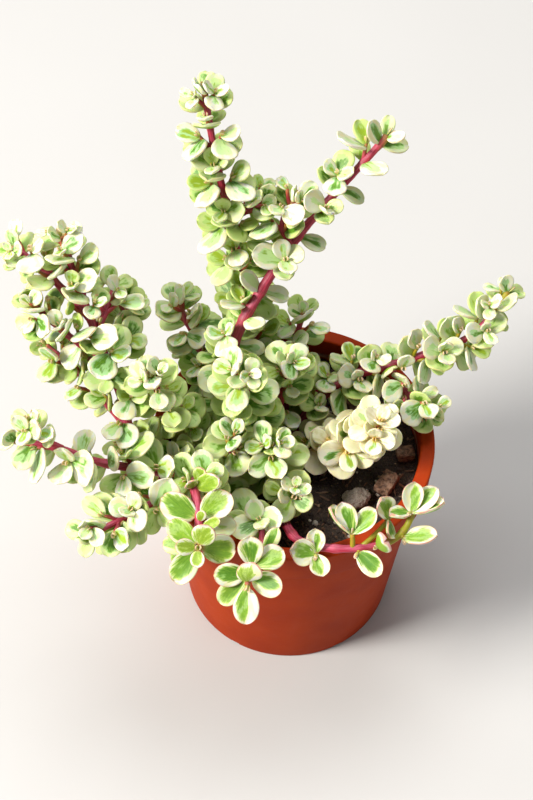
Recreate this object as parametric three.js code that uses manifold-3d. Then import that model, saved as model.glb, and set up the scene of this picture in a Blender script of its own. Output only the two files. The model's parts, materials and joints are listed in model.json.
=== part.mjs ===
// Variegated elephant bush (Portulacaria afra) in a 12 cm plastic nursery pot.
// Millimetres, +Z up, origin at the middle of the pot's foot, +Y away from the front of the plant.

import * as THREE from 'three';
import { mergeVertices } from 'three/addons/utils/BufferGeometryUtils.js';
import Module from 'manifold-3d';

const wasm = await Module();
wasm.setup();

// ---------------------------------------------------------------- driving dimensions

const POT_HEIGHT = 107;
const RIM_RADIUS = 60;
const RIM_WIDTH = 6.3;           // flat lip on top of the collar
const RIM_THICKNESS = 2.2;
const COLLAR_HEIGHT = 17;
const BODY_TOP_RADIUS = 55.5;    // outside of the body, level with the collar's lower edge
const FOOT_RADIUS = 46.5;
const WALL = 1.8;
const FOOT_RING_WIDTH = 3;
const FOOT_PAD_RADIUS = 18;      // the middle of the base also stands on the ground
const CHANNEL_HEIGHT = 2.5;      // between pad and ring the base is raised, for the drain holes
const FLOOR_THICKNESS = 2;
const DRAIN_HOLES = 6;
const DRAIN_HOLE_RADIUS = 3;
const DRAIN_CIRCLE_RADIUS = 30;
const NOTCH_WIDTH = 4;           // by each hole a notch in the foot ring lets the water out
const NOTCH_HEIGHT = 1.2;
const POT_SIDES = 40;

const SOIL_HEIGHT = 95;          // at the middle
const SOIL_FALL = 1;             // how much lower it is at the wall
const SOIL_SIDES = 32;
const CLEARANCE = 0.3;           // gap between neighbouring pieces
const SEAT_STEP = 0.1;           // step in which a piece is moved until it has that gap

const STEM_SIDES = 5;
const STEM_TAPER = 0.8;          // exponent of the radius along a stem
const STEM_STEP = 6;             // length of one ring of facets
const STEPS_PER_SPAN = 8;        // samples between two guide points
const TIP_PAIR_DEPTH = 1;        // the last leaf pair sits this far below the tip
const TIP_PAIR_SPACE = 3;        // and no other pair is nearer than this to the tip
const SPRIG_RINGS = 6;
const SPRIG_THICKNESS = [0.85, 0.7];   // at its two ends, as a share of its stem's radius
const SPRIG_BOW = 0.1;           // how far a sprig bends towards its stem's tip, as a share of its length
const SPRIG_END = 0.8;           // a sprig reaches this far past the feet of its leaves

const LEAF_HALF_THICKNESS = 0.9;
const LEAF_FOOT_DEPTH = 0.4;     // a pair leaf starts inside its stem, at this share of the radius
const FULL_SIZE_LEAF = 11;       // shorter leaves are thinner in proportion
const LEAF_OUTLINE = [[0, 0], [0.34, 0.38], [0.76, 0.5], [1, 0]];   // shares of length and width
const LEAF_WIDEST = 0.62;        // place of the thickest point along a leaf
const LEAF_MIDDLE = 0.53;        // middle of the ellipse that stands for a leaf in the tests for room
const PAIR_WOBBLE = 24;          // degrees that a pair strays from its quarter turn
const FACE_TO_STEM_TIP = 0.25;   // a pair leaf's face turns partly to the stem's tip
const FACE_TO_LIGHT = 0.9;       // and mostly to the light

const LEAF_GAP = 0.5;            // between leaves of different shoots
const SHOOT_LEAF_GAP = 0.15;     // between leaves of one shoot
const PAIR_LEAF_GAP = -0.35;     // the two leaves of a pair may grow into each other at the base
const LEAF_TO_STEM_GAP = 0.5;
const LEAF_TO_POT_GAP = 1.8;

const LIGHT = new THREE.Vector3(-0.1, -0.5, 1).normalize();       // leaves turn their faces to it
const FRONT_FACING = [0, -0.585, 0.811];                          // faces of the placed front leaves

// Stems as guide points from the buried end to the tip. `radius` is at the two ends, `leaf` the length
// of a full leaf, `bare` the leafless length at the base, `gap` the distance between leaf pairs, `roll`
// turns the pairs about the stem, `lift` raises the leaves from it, `breadth` is the least and the most
// width of a leaf as a share of its length, and past `leafyLength` the leaves are placed one by one.
const SHOOT_DEFAULTS = {
  radius: [2.2, 1.1], leaf: 13, bare: 18, gap: 10, roll: 0, lift: 12, breadth: [0.84, 0.97],
  leafyLength: Infinity, parent: null,
};

const SHOOTS = [
  {
    name: 'shoot_back_left', radius: [3, 1.2], bare: 30, roll: 15,
    points: [[-12, 16, 80], [-16, 30, 108], [-19, 41, 128], [-28, 51, 185], [-34, 60, 212], [-39, 75, 236]],
  },
  {
    name: 'shoot_back_left_side', radius: [1.5, 1], leaf: 12, bare: 4, gap: 7, parent: 'shoot_back_left',
    points: [[-27, 52, 187], [-20, 54, 191], [-13, 56, 195]],
  },
  {
    name: 'shoot_back_right', radius: [3.2, 1.4], leaf: 13.5, bare: 36, gap: 14, roll: 40,
    breadth: [0.58, 0.7],
    points: [[-27, 4, 80], [-30, 14, 124], [-24, 24, 148], [-12, 39, 165], [3, 51, 185], [34, 71, 217]],
  },
  {
    name: 'shoot_back_right_side', radius: [1.5, 1], leaf: 12, bare: 4, gap: 8, parent: 'shoot_back_right',
    points: [[-3, 46, 178], [-7, 50, 186], [-2, 56, 196]],
  },
  {
    name: 'shoot_right', radius: [2.8, 1.2], bare: 24, gap: 9.5, roll: 30,
    points: [
      [-2, 4, 80], [5, 12, 106], [21, 24, 117], [41, 29, 121], [57, 32, 127], [75, 37, 134], [89, 50, 147],
    ],
  },
  {
    name: 'shoot_right_side', radius: [1.5, 1], leaf: 11, bare: 5, gap: 8, parent: 'shoot_right',
    points: [[41, 28, 120], [49, 16, 115], [58, 9, 114]],
  },
  {
    name: 'shoot_cream', radius: [1.9, 1], leaf: 14, bare: 16, gap: 7.5,
    points: [[8, 2, 80], [10, 0, 101], [21, -7, 113], [31, -6.5, 122], [34, -12.5, 131.5]],
  },
  {
    name: 'shoot_front_right', leafyLength: 0,
    points: [
      [-6, -22, 82], [-3, -40, 103], [3, -52, 109], [15, -57, 112], [29, -57, 113], [40, -54, 114],
      [46, -49, 117], [49, -42, 122],
    ],
  },
  {
    name: 'shoot_front', radius: [2.3, 1.1], bare: 22, roll: 10, leafyLength: 46,
    points: [
      [-20, -20, 82], [-34, -27, 112], [-39.8, -35, 125], [-39, -44, 127], [-37.5, -52.5, 124.5],
      [-37, -59, 121.5], [-37, -63.5, 121.5], [-37, -67, 126.5],
    ],
  },
  {
    name: 'shoot_front_low', radius: [1.9, 1], bare: 22, roll: 30, leafyLength: 40,
    points: [
      [-14, -22, 84], [-13, -42, 106], [-11.5, -57, 112.5], [-12, -63, 113], [-14.5, -67, 114],
      [-17, -71.5, 115.5], [-17.4, -79, 118.3],
    ],
  },
  {
    name: 'shoot_left_low', radius: [2.7, 1.3], bare: 24, gap: 12, roll: 20,
    points: [
      [-30, -8, 82], [-38, -17, 105], [-54, -24, 115], [-79, -30, 130], [-94, -30, 139], [-112, -30, 144],
    ],
  },
  {
    name: 'shoot_left_low_side', radius: [1.5, 1], leaf: 11, bare: 4, gap: 7, parent: 'shoot_left_low',
    points: [[-93, -30, 139], [-101, -30, 147], [-105, -28, 155]],
  },
  {
    name: 'shoot_left_front', radius: [2.2, 1.2], bare: 24, roll: 50,
    points: [
      [-27, -13, 82], [-37, -24, 105], [-49, -34, 114], [-60, -44, 119], [-71, -53, 121], [-82, -59, 120],
    ],
  },
  {
    name: 'shoot_left_up', radius: [3.2, 1.3], bare: 34, roll: 35,
    points: [
      [-34, 0, 80], [-46, -8, 106], [-60, -13, 115.5], [-68, -11, 122], [-70, -4, 136], [-79, 8, 157],
      [-89, 26, 177], [-95, 36, 192],
    ],
  },
  {
    name: 'shoot_left_up_end', radius: [2, 1.1], leaf: 12, bare: 6, gap: 9, roll: 20,
    parent: 'shoot_left_up',
    points: [[-83, 15, 166], [-95, 24, 174], [-103, 30, 179], [-115, 36, 185]],
  },
  {
    name: 'shoot_left_up_middle', radius: [1.8, 1], leaf: 12, bare: 6, gap: 9, roll: 60,
    parent: 'shoot_left_up',
    points: [[-77, 5, 153], [-92, 10, 161], [-107, 18, 172]],
  },
  {
    name: 'shoot_left_up_low', radius: [1.8, 1], leaf: 12, bare: 5, gap: 9, parent: 'shoot_left_up',
    points: [[-69, -10, 127], [-86, 4, 140], [-102, 12, 152]],
  },
  {
    name: 'shoot_left_up_inner', radius: [1.8, 1], leaf: 12, bare: 6, gap: 9, parent: 'shoot_left_up',
    points: [[-75, 3, 148], [-71, 19, 154], [-68, 32, 159]],
  },
  {
    name: 'shoot_middle_left', bare: 20, roll: 45,
    points: [[-38, 8, 82], [-43, 2, 109], [-53, -2, 131], [-58, -7, 158]],
  },
  {
    name: 'shoot_middle', bare: 20,
    points: [[-17, -2, 82], [-18, -1, 106], [-19, 1, 132], [-22, -5, 158]],
  },
  {
    name: 'shoot_back', radius: [2, 1.1], gap: 9, roll: 20,
    points: [[-4, 12, 82], [-3, 28, 108], [3, 50, 131]],
  },
  {
    name: 'shoot_back_low', gap: 9, roll: 70,
    points: [[-26, 16, 82], [-36, 30, 112], [-51, 47, 140]],
  },
  {
    name: 'shoot_right_low', radius: [1.8, 1], leaf: 11, gap: 9,
    points: [[1, 17, 82], [6, 25, 98], [14, 33, 106]],
  },
  {
    name: 'shoot_middle_right', radius: [2, 1.1], gap: 9, roll: 55,
    points: [[-8, 8, 82], [-6, 11, 115], [-3, 15, 142]],
  },
  {
    name: 'shoot_middle_front', radius: [1.9, 1], bare: 15, gap: 8.5, roll: 20,
    points: [[-7, -10, 82], [-8, -14, 106], [-9, -18, 127]],
  },
  {
    name: 'shoot_middle_front_left', radius: [1.9, 1], bare: 15, gap: 9, roll: 60,
    points: [[-20, -10, 82], [-24, -14, 108], [-27, -18, 131]],
  },
  {
    name: 'shoot_front_inner', radius: [1.7, 1], bare: 13, gap: 8.5,
    points: [[-10, -18, 84], [-4, -26, 103], [0, -34, 114]],
  },
  {
    name: 'shoot_left_inner', radius: [1.8, 1], bare: 17, gap: 9, roll: 30,
    points: [[-44, 4, 84], [-53, 12, 111], [-64, 16, 128]],
  },
  {
    name: 'shoot_left_up_back', radius: [1.8, 1], leaf: 12, bare: 5, gap: 8, roll: 30,
    parent: 'shoot_left_up',
    points: [[-81, 12, 161], [-77, 21, 166], [-74, 30, 170]],
  },
  {
    name: 'shoot_left_up_under', radius: [1.8, 1], leaf: 12, bare: 5, gap: 8, roll: 60,
    parent: 'shoot_left_up',
    points: [[-73, 0, 145], [-79, 5, 145.5], [-85, 9, 148]],
  },
];

// Leaves of the two shoots that hang over the front of the rim, each a piece of its own:
// shoot, distance of its foot from the shoot's tip, leaf tip, width, and the way its face looks if
// that isn't FRONT_FACING.
const FRONT_LEAVES = {
  leaf_front_left: ['shoot_front', 18, [-53, -47.3, 130], 12.5],
  leaf_front_right: ['shoot_front', 18, [-25.3, -45, 132.3], 12.5],
  leaf_front_right_low: ['shoot_front', 15.5, [-22.5, -52.5, 119.5], 9.5],
  leaf_front_upper_left: ['shoot_front', 5, [-49, -56, 128], 10],
  leaf_front_centre_up: ['shoot_front', 0.6, [-33.5, -61.5, 135], 10],
  leaf_front_centre_left: ['shoot_front', 0.6, [-46, -69, 130], 7],
  leaf_front_centre_down: ['shoot_front', 0.6, [-37.5, -75.5, 125], 6],
  leaf_front_low_left: ['shoot_front', 4.5, [-47, -75.5, 114.5], 11.5],
  leaf_front_low_right: ['shoot_front', 4, [-22.5, -64, 120], 12],
  leaf_front_behind_left: ['shoot_front', 7.5, [-51.5, -60, 118], 9],
  leaf_front_behind_low: ['shoot_front', 8.5, [-48, -64.5, 110], 8.5],
  leaf_front_bud_left: ['shoot_front', 16, [-36, -52.5, 130.5], 3],
  leaf_front_bud_right: ['shoot_front', 14, [-29, -55, 128], 3.5],
  leaf_front_top_left: ['shoot_front', 31, [-41.8, -41, 134.5], 5.5],
  leaf_front_top_middle: ['shoot_front', 35, [-35.3, -37.5, 137], 6.5],
  leaf_front_top_right: ['shoot_front', 31.5, [-28.8, -42.4, 140.2], 6.5],
  leaf_low_top: ['shoot_front_low', 11, [-17, -61, 126.5], 11],
  leaf_low_right: ['shoot_front_low', 12, [-3.5, -64, 121], 11],
  leaf_low_left: ['shoot_front_low', 7, [-31, -74.5, 118.5], 10],
  leaf_low_centre: ['shoot_front_low', 2, [-16.5, -78, 128], 10.5, [0, -1, -0.1]],
  leaf_low_lower_right: ['shoot_front_low', 6, [-3.5, -79, 116.5], 10.5],
  leaf_low_lower_left: ['shoot_front_low', 7, [-28.5, -82, 109.5], 9.5],
  leaf_low_bottom: ['shoot_front_low', 1, [-18, -92, 110.5], 11],
  leaf_low_back_right: ['shoot_front_low', 20, [-5.5, -54, 122], 6.5],
};

// Sprigs of the shoot that hangs over the rim at the front right: distance of the root from the
// shoot's tip, end of the sprig, and its leaves, each with its tip, width and the way its face looks.
const SPRIGS = [
  [49, [9.7, -59.7, 111.7], [
    [[-0.5, -61.5, 116.5], 12.5, FRONT_FACING],
    [[9.5, -53, 120], 8.5, FRONT_FACING],
    [[12.5, -68.5, 109], 9.5, FRONT_FACING],
  ]],
  [34, [23.8, -54.2, 118.7], [
    [[14, -46.5, 125.5], 9, [0.75, 0.06, 0.66]],
    [[20, -46, 129.5], 9.5, FRONT_FACING],
    [[33.5, -48, 127], 9.5, [-0.3, -0.5, 0.8]],
  ]],
  [31, [38.8, -46.9, 119.1], [
    [[35, -42.5, 128.5], 10.5, [0.5, -0.45, 0.75]],
    [[39, -55, 117], 9, [0.9, -0.26, 0.36]],
  ]],
  [31, [26.5, -59, 112.8], [
    [[36, -67.5, 110.5], 10, FRONT_FACING],
  ]],
  [23, [34.5, -56.6, 114], [
    [[36.5, -60, 122.5], 10, [0.88, 0.27, 0.44]],
  ]],
  [13, [44.6, -53.4, 115.3], [
    [[58, -54, 118.5], 11, [0, 0.16, 0.98]],
  ]],
  [3, [47.5, -45, 121], [
    [[39, -48, 125], 8.5, [0, 0.3, 0.95]],
    [[48, -36.5, 131], 10, FRONT_FACING],
    [[57.5, -37.5, 129], 10, [-0.4, -0.5, 0.75]],
    [[61, -43.5, 126], 9.5, [-0.31, 0.36, 0.88]],
  ]],
];

// Bark and pumice pieces on the soil: place, size, turn about Z.
const CHUNKS = {
  pumice_chunk: [[27, -23], [12, 9, 7], 20],
  bark_chunk_front: [[40, -15], [13, 8, 6], 60],
  bark_chunk_right: [[48, 0], [9, 7, 6], 10],
  bark_chunk_back: [[26, 25], [12, 8, 6], 130],
};

const COLOURS = {
  pot: 0xb5482a,
  soil: 0x2e2119,
  bark: 0x6b4a34,
  pumice: 0xb9a898,
  leaf: 0xa9c77c,
  cream: 0xe9e6b8,
};

// ---------------------------------------------------------------- solids

const vector = (xyz) => new THREE.Vector3(...xyz);

function solidOf(geometry) {
  const bare = geometry.clone();
  bare.deleteAttribute('normal');
  bare.deleteAttribute('uv');
  const merged = mergeVertices(bare, 1e-5);
  return new wasm.Manifold(new wasm.Mesh({
    numProp: 3,
    vertProperties: new Float32Array(merged.attributes.position.array),
    triVerts: new Uint32Array(merged.index.array),
  }));
}

function geometryOf(solid) {
  const mesh = solid.getMesh();
  const geometry = new THREE.BufferGeometry();
  geometry.setAttribute('position', new THREE.BufferAttribute(mesh.vertProperties, 3));
  geometry.setIndex(new THREE.BufferAttribute(mesh.triVerts, 1));
  geometry.computeVertexNormals();
  return geometry;
}

function piece(name, geometry, color, roughness) {
  const mesh = new THREE.Mesh(geometry, new THREE.MeshStandardMaterial({ color, roughness, metalness: 0 }));
  mesh.name = name;
  return mesh;
}

// Repeatable scatter in 0..1 from up to four whole numbers.
function scatter(a, b = 0, c = 0, d = 0) {
  const wave = Math.sin(a * 12.9898 + b * 78.233 + c * 37.719 + d * 9.151) * 43758.5453;
  return wave - Math.floor(wave);
}

// A closed surface of revolution, stood up so that its axis is +Z.
function turned(profile, sides) {
  const points = profile.map(([r, z]) => new THREE.Vector2(r, z));
  return new THREE.LatheGeometry(points, sides).rotateX(Math.PI / 2);
}

// ---------------------------------------------------------------- pot and soil

const FLOOR_TOP = CHANNEL_HEIGHT + FLOOR_THICKNESS;
const SKIRT_FOOT = POT_HEIGHT - COLLAR_HEIGHT;

function bodyRadius(z) {
  return FOOT_RADIUS + (BODY_TOP_RADIUS - FOOT_RADIUS) * Math.min(z / SKIRT_FOOT, 1);
}

// The base stands on a ring and a middle pad, the body tapers up from it, and a flat lip at the top
// carries a skirt that hangs around the body.
function makePot() {
  const innerRim = RIM_RADIUS - RIM_WIDTH;
  const round = RIM_THICKNESS * 0.4;
  const ringInside = FOOT_RADIUS - FOOT_RING_WIDTH;
  const profile = [
    [0, 0],
    [FOOT_PAD_RADIUS, 0],
    [FOOT_PAD_RADIUS + 0.5, CHANNEL_HEIGHT],
    [ringInside - 0.5, CHANNEL_HEIGHT],
    [ringInside, 0],
    [FOOT_RADIUS - 0.6, 0],
    [FOOT_RADIUS, 0.8],
    [bodyRadius(SKIRT_FOOT), SKIRT_FOOT],
    [BODY_TOP_RADIUS, POT_HEIGHT - RIM_THICKNESS],
    [RIM_RADIUS - WALL, POT_HEIGHT - RIM_THICKNESS],
    [RIM_RADIUS - 1 - WALL, SKIRT_FOOT],
    [RIM_RADIUS - 1, SKIRT_FOOT],
    [RIM_RADIUS, POT_HEIGHT - round],
    [RIM_RADIUS - round * 0.3, POT_HEIGHT - round * 0.3],
    [RIM_RADIUS - round, POT_HEIGHT],
    [innerRim + round, POT_HEIGHT],
    [innerRim, POT_HEIGHT - round],
    [bodyRadius(SKIRT_FOOT) - WALL, SKIRT_FOOT],
    [bodyRadius(FLOOR_TOP) - WALL, FLOOR_TOP],
    [FOOT_PAD_RADIUS - WALL, FLOOR_TOP],
    [FOOT_PAD_RADIUS - WALL - 0.5, FLOOR_THICKNESS],
    [0, FLOOR_THICKNESS],
  ];
  const drill = new THREE.CylinderGeometry(DRAIN_HOLE_RADIUS, DRAIN_HOLE_RADIUS, 2 * FLOOR_TOP, 8);
  drill.rotateX(Math.PI / 2).translate(DRAIN_CIRCLE_RADIUS, 0, FLOOR_TOP);
  const notch = new THREE.BoxGeometry(4 * FOOT_RING_WIDTH, NOTCH_WIDTH, 2 * NOTCH_HEIGHT);
  notch.translate(FOOT_RADIUS, 0, 0);
  let pot = solidOf(turned(profile, POT_SIDES));
  for (let i = 0; i < DRAIN_HOLES; i += 1) {
    for (const cutter of [drill, notch]) {
      pot = pot.subtract(solidOf(cutter));
      cutter.rotateZ((2 * Math.PI) / DRAIN_HOLES);
    }
  }
  return pot;
}

// The root ball fills the pot and leaves a socket for each planted stem.
const SOIL_INSET = WALL + 3 * CLEARANCE;
const SOIL_RADIUS = bodyRadius(SKIRT_FOOT) - SOIL_INSET;

function soilTop(radius) {
  return SOIL_HEIGHT - SOIL_FALL * (radius / SOIL_RADIUS);
}

function makeSoil(stems) {
  const profile = [
    [0, FLOOR_THICKNESS + CLEARANCE],
    [FOOT_PAD_RADIUS - WALL - 1 - CLEARANCE, FLOOR_THICKNESS + CLEARANCE],
    [FOOT_PAD_RADIUS - WALL - CLEARANCE, FLOOR_TOP + CLEARANCE],
    [bodyRadius(FLOOR_TOP) - SOIL_INSET, FLOOR_TOP + CLEARANCE],
    [SOIL_RADIUS, SKIRT_FOOT],
    [SOIL_RADIUS, soilTop(SOIL_RADIUS)],
    [0, SOIL_HEIGHT],
  ];
  let soil = solidOf(turned(profile, SOIL_SIDES));
  for (const stem of stems.filter((each) => !each.parent)) {
    soil = soil.subtract(solidOf(stem.tube(2 * CLEARANCE, 2 * CLEARANCE)));
  }
  return soil;
}

// a lump of bark or pumice, let down until its lowest corner is just clear of the soil
function makeChunk(name) {
  const [[x, y], [length, width, height], turn] = CHUNKS[name];
  const geometry = new THREE.IcosahedronGeometry(0.5, 1);
  geometry.scale(length, width, height).rotateZ(THREE.MathUtils.degToRad(turn)).translate(x, y, 0);
  const corner = new THREE.Vector3();
  let drop = Infinity;
  for (let i = 0; i < geometry.attributes.position.count; i += 1) {
    corner.fromBufferAttribute(geometry.attributes.position, i);
    drop = Math.min(drop, corner.z - soilTop(Math.hypot(corner.x, corner.y)));
  }
  return geometryOf(solidOf(geometry.translate(0, 0, CLEARANCE - drop)));
}

// ---------------------------------------------------------------- stems

class Stem {
  constructor(spec, index, parent) {
    Object.assign(this, SHOOT_DEFAULTS, spec, { index });
    const curve = new THREE.CatmullRomCurve3(spec.points.map(vector), false, 'catmullrom', 0.5);
    this.path = curve.getPoints(STEPS_PER_SPAN * (spec.points.length - 1));
    this.distances = [0];
    for (let i = 1; i < this.path.length; i += 1) {
      this.distances.push(this.distances[i - 1] + this.path[i].distanceTo(this.path[i - 1]));
    }
    this.length = this.distances.at(-1);
    const last = this.path.length - 1;
    this.tangents = this.path.map((point, i) => (
      this.path[Math.min(i + 1, last)].clone().sub(this.path[Math.max(i - 1, 0)]).normalize()
    ));
    // side vectors that turn with the stem and don't twist about it
    this.sides = [new THREE.Vector3().crossVectors(this.tangents[0], vector([0.3, 1, 0.2])).normalize()];
    for (let i = 1; i <= last; i += 1) {
      this.sides.push(flattened(this.sides[i - 1], this.tangents[i]));
    }
    this.start = 0;
    if (parent) {
      this.seatOn(parent);
    }
    this.nodes = this.placeNodes();
  }

  // moves the lower end of a side shoot out to the surface of the stem that carries it
  seatOn(parent) {
    while (this.ringAt(this.start).some((point) => parent.surfaceDistance(point) < CLEARANCE)) {
      this.start += SEAT_STEP;
    }
  }

  ringAt(distance) {
    const { point, side, cross } = this.at(distance);
    const ring = [];
    for (let i = 0; i < STEM_SIDES; i += 1) {
      const angle = (2 * Math.PI * i) / STEM_SIDES;
      ring.push(point.clone()
        .addScaledVector(side, this.radiusAt(distance) * Math.cos(angle))
        .addScaledVector(cross, this.radiusAt(distance) * Math.sin(angle)));
    }
    return ring;
  }

  surfaceDistance(point) {
    const nearest = new THREE.Vector3();
    const gaps = this.path.slice(1).map((end, i) => {
      new THREE.Line3(this.path[i], end).closestPointToPoint(point, true, nearest);
      return nearest.distanceTo(point) - this.radiusAt(this.distances[i]);
    });
    return Math.min(...gaps);
  }

  radiusAt(distance) {
    const share = THREE.MathUtils.clamp(distance / this.length, 0, 1);
    return this.radius[0] + (this.radius[1] - this.radius[0]) * share ** STEM_TAPER;
  }

  // point, direction and two side vectors at a distance from the buried end
  at(distance) {
    let i = 0;
    while (i < this.path.length - 2 && this.distances[i + 1] <= distance) {
      i += 1;
    }
    const span = this.distances[i + 1] - this.distances[i];
    const share = THREE.MathUtils.clamp((distance - this.distances[i]) / span, 0, 1);
    const point = this.path[i].clone().lerp(this.path[i + 1], share);
    const along = this.tangents[i].clone().lerp(this.tangents[i + 1], share).normalize();
    const side = flattened(this.sides[i].clone().lerp(this.sides[i + 1], share), along);
    return { point, along, side, cross: new THREE.Vector3().crossVectors(along, side) };
  }

  // distances of the leaf pairs, closer together near the tip
  placeNodes() {
    const nodes = [];
    let distance = this.start + this.bare;
    while (distance < this.length - TIP_PAIR_SPACE) {
      nodes.push(distance);
      const toTip = Math.min((this.length - distance) / 30, 1);
      distance += this.gap * (0.5 + 0.5 * toTip) * (0.9 + 0.2 * scatter(this.index, nodes.length - 1, 3));
    }
    nodes.push(this.length - TIP_PAIR_DEPTH);
    return nodes;
  }

  // the stem's solid; made thicker and deeper it is the socket in the soil
  tube(extraRadius = 0, extraDepth = 0) {
    const span = this.length - this.start;
    const rings = Math.max(3, Math.round(span / STEM_STEP));
    return bentTube(rings, (share) => {
      const distance = this.start + span * share;
      const { point, along, side, cross } = this.at(distance);
      point.addScaledVector(along, distance === 0 ? -extraDepth : 0);
      return { point, side, cross, radius: this.radiusAt(distance) + extraRadius };
    });
  }
}

// A closed tube: a cylinder bent along a line. `ringAt` gives the middle, two side vectors and the
// radius of the ring at a share of its length.
function bentTube(rings, ringAt) {
  const geometry = new THREE.CylinderGeometry(1, 1, 1, STEM_SIDES, rings);
  const position = geometry.attributes.position;
  for (let i = 0; i < position.count; i += 1) {
    const { point, side, cross, radius } = ringAt(position.getY(i) + 0.5);
    point.addScaledVector(side, radius * position.getZ(i));
    point.addScaledVector(cross, radius * position.getX(i));
    position.setXYZ(i, point.x, point.y, point.z);
  }
  return geometry;
}

// A short twig with placed leaves at its end, which grows together with its stem.
class Sprig {
  constructor(stem, fromTip, end) {
    const root = stem.at(stem.length - fromTip);
    const reach = root.point.distanceTo(end);
    const middle = root.point.clone().add(end).multiplyScalar(0.5);
    middle.addScaledVector(root.along, SPRIG_BOW * reach);
    this.stem = stem;
    this.end = end;
    this.stemRadius = stem.radiusAt(stem.length - fromTip);
    this.curve = new THREE.QuadraticBezierCurve3(root.point, middle, end);
  }

  radiusAt(share) {
    return this.stemRadius * THREE.MathUtils.lerp(...SPRIG_THICKNESS, share);
  }

  tube() {
    return bentTube(SPRIG_RINGS - 1, (share) => {
      const along = this.curve.getTangent(share);
      const side = flattened(vector([0.2, 0.3, 1]), along);
      const cross = new THREE.Vector3().crossVectors(along, side);
      const point = this.curve.getPoint(share).addScaledVector(along, share === 1 ? SPRIG_END : 0);
      return { point, side, cross, radius: this.radiusAt(share) };
    });
  }
}

// the part of a vector square to a unit axis, made one long
function flattened(v, axis) {
  return v.clone().addScaledVector(axis, -v.dot(axis)).normalize();
}

// ---------------------------------------------------------------- leaves

class Leaf {
  constructor({ stem, group, foot, along, face, length, width }) {
    Object.assign(this, { stem, group, foot, length, width });
    this.along = along.clone().normalize();
    this.face = flattened(face, this.along);
    this.across = new THREE.Vector3().crossVectors(this.face, this.along);
    this.middle = this.foot.clone().addScaledVector(this.along, LEAF_MIDDLE * length);
    this.halfLength = (1 - LEAF_MIDDLE) * length;
    this.halfWidth = 0.5 * width;
    this.bulk = Math.min(1, length / FULL_SIZE_LEAF);
    this.samples = LEAF_SAMPLES.map(([u, v, thickness]) => ({
      point: this.middle.clone()
        .addScaledVector(this.along, u * this.halfLength)
        .addScaledVector(this.across, v * this.halfWidth),
      thickness: thickness * LEAF_HALF_THICKNESS * this.bulk,
    }));
  }

  // distance from the leaf's plane, and how far out in its outline (1 at the edge, grown by gap)
  locate(point, gap) {
    const offset = point.clone().sub(this.middle);
    const u = offset.dot(this.along) / (this.halfLength + gap);
    const v = offset.dot(this.across) / (this.halfWidth + gap);
    return { height: Math.abs(offset.dot(this.face)), out: u * u + v * v };
  }

  holds(sample, gap) {
    const { height, out } = this.locate(sample.point, gap);
    const own = LEAF_HALF_THICKNESS * this.bulk * (1 - 0.55 * out);
    return out < 1 && height < sample.thickness + own + gap;
  }

  meets(other, gap) {
    if (this.middle.distanceTo(other.middle) > 0.55 * (this.length + other.length) + gap) {
      return false;
    }
    return other.samples.some((sample) => this.holds(sample, gap))
      || this.samples.some((sample) => other.holds(sample, gap));
  }
}

// sample points in a leaf's outline, with the share of its thickness there
const LEAF_SAMPLES = [[0, 0, 1]];
for (let i = 0; i < 6; i += 1) {
  LEAF_SAMPLES.push([0.5 * Math.cos((i * Math.PI) / 3), 0.5 * Math.sin((i * Math.PI) / 3), 0.85]);
}
for (let i = 0; i < 12; i += 1) {
  LEAF_SAMPLES.push([0.97 * Math.cos((i * Math.PI) / 6), 0.97 * Math.sin((i * Math.PI) / 6), 0.45]);
}

// turn in its plane, pitch (in degrees) and scale that are tried in this order until a leaf has room
const TRIES = [
  [0, 0, 1], [14, 0, 1], [-14, 0, 1], [0, 14, 0.95], [0, -14, 0.95], [24, 8, 0.9], [-24, 8, 0.9],
  [0, 0, 0.78], [18, 14, 0.75], [-18, -14, 0.75],
];

// share of the full size, and added lift in degrees, of the last pair at the tip, the one below it, ...
const SIZE_TOWARDS_TIP = [0.7, 0.94, 1, 1];
const LIFT_TOWARDS_TIP = [30, 14, 5, 0];

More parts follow.
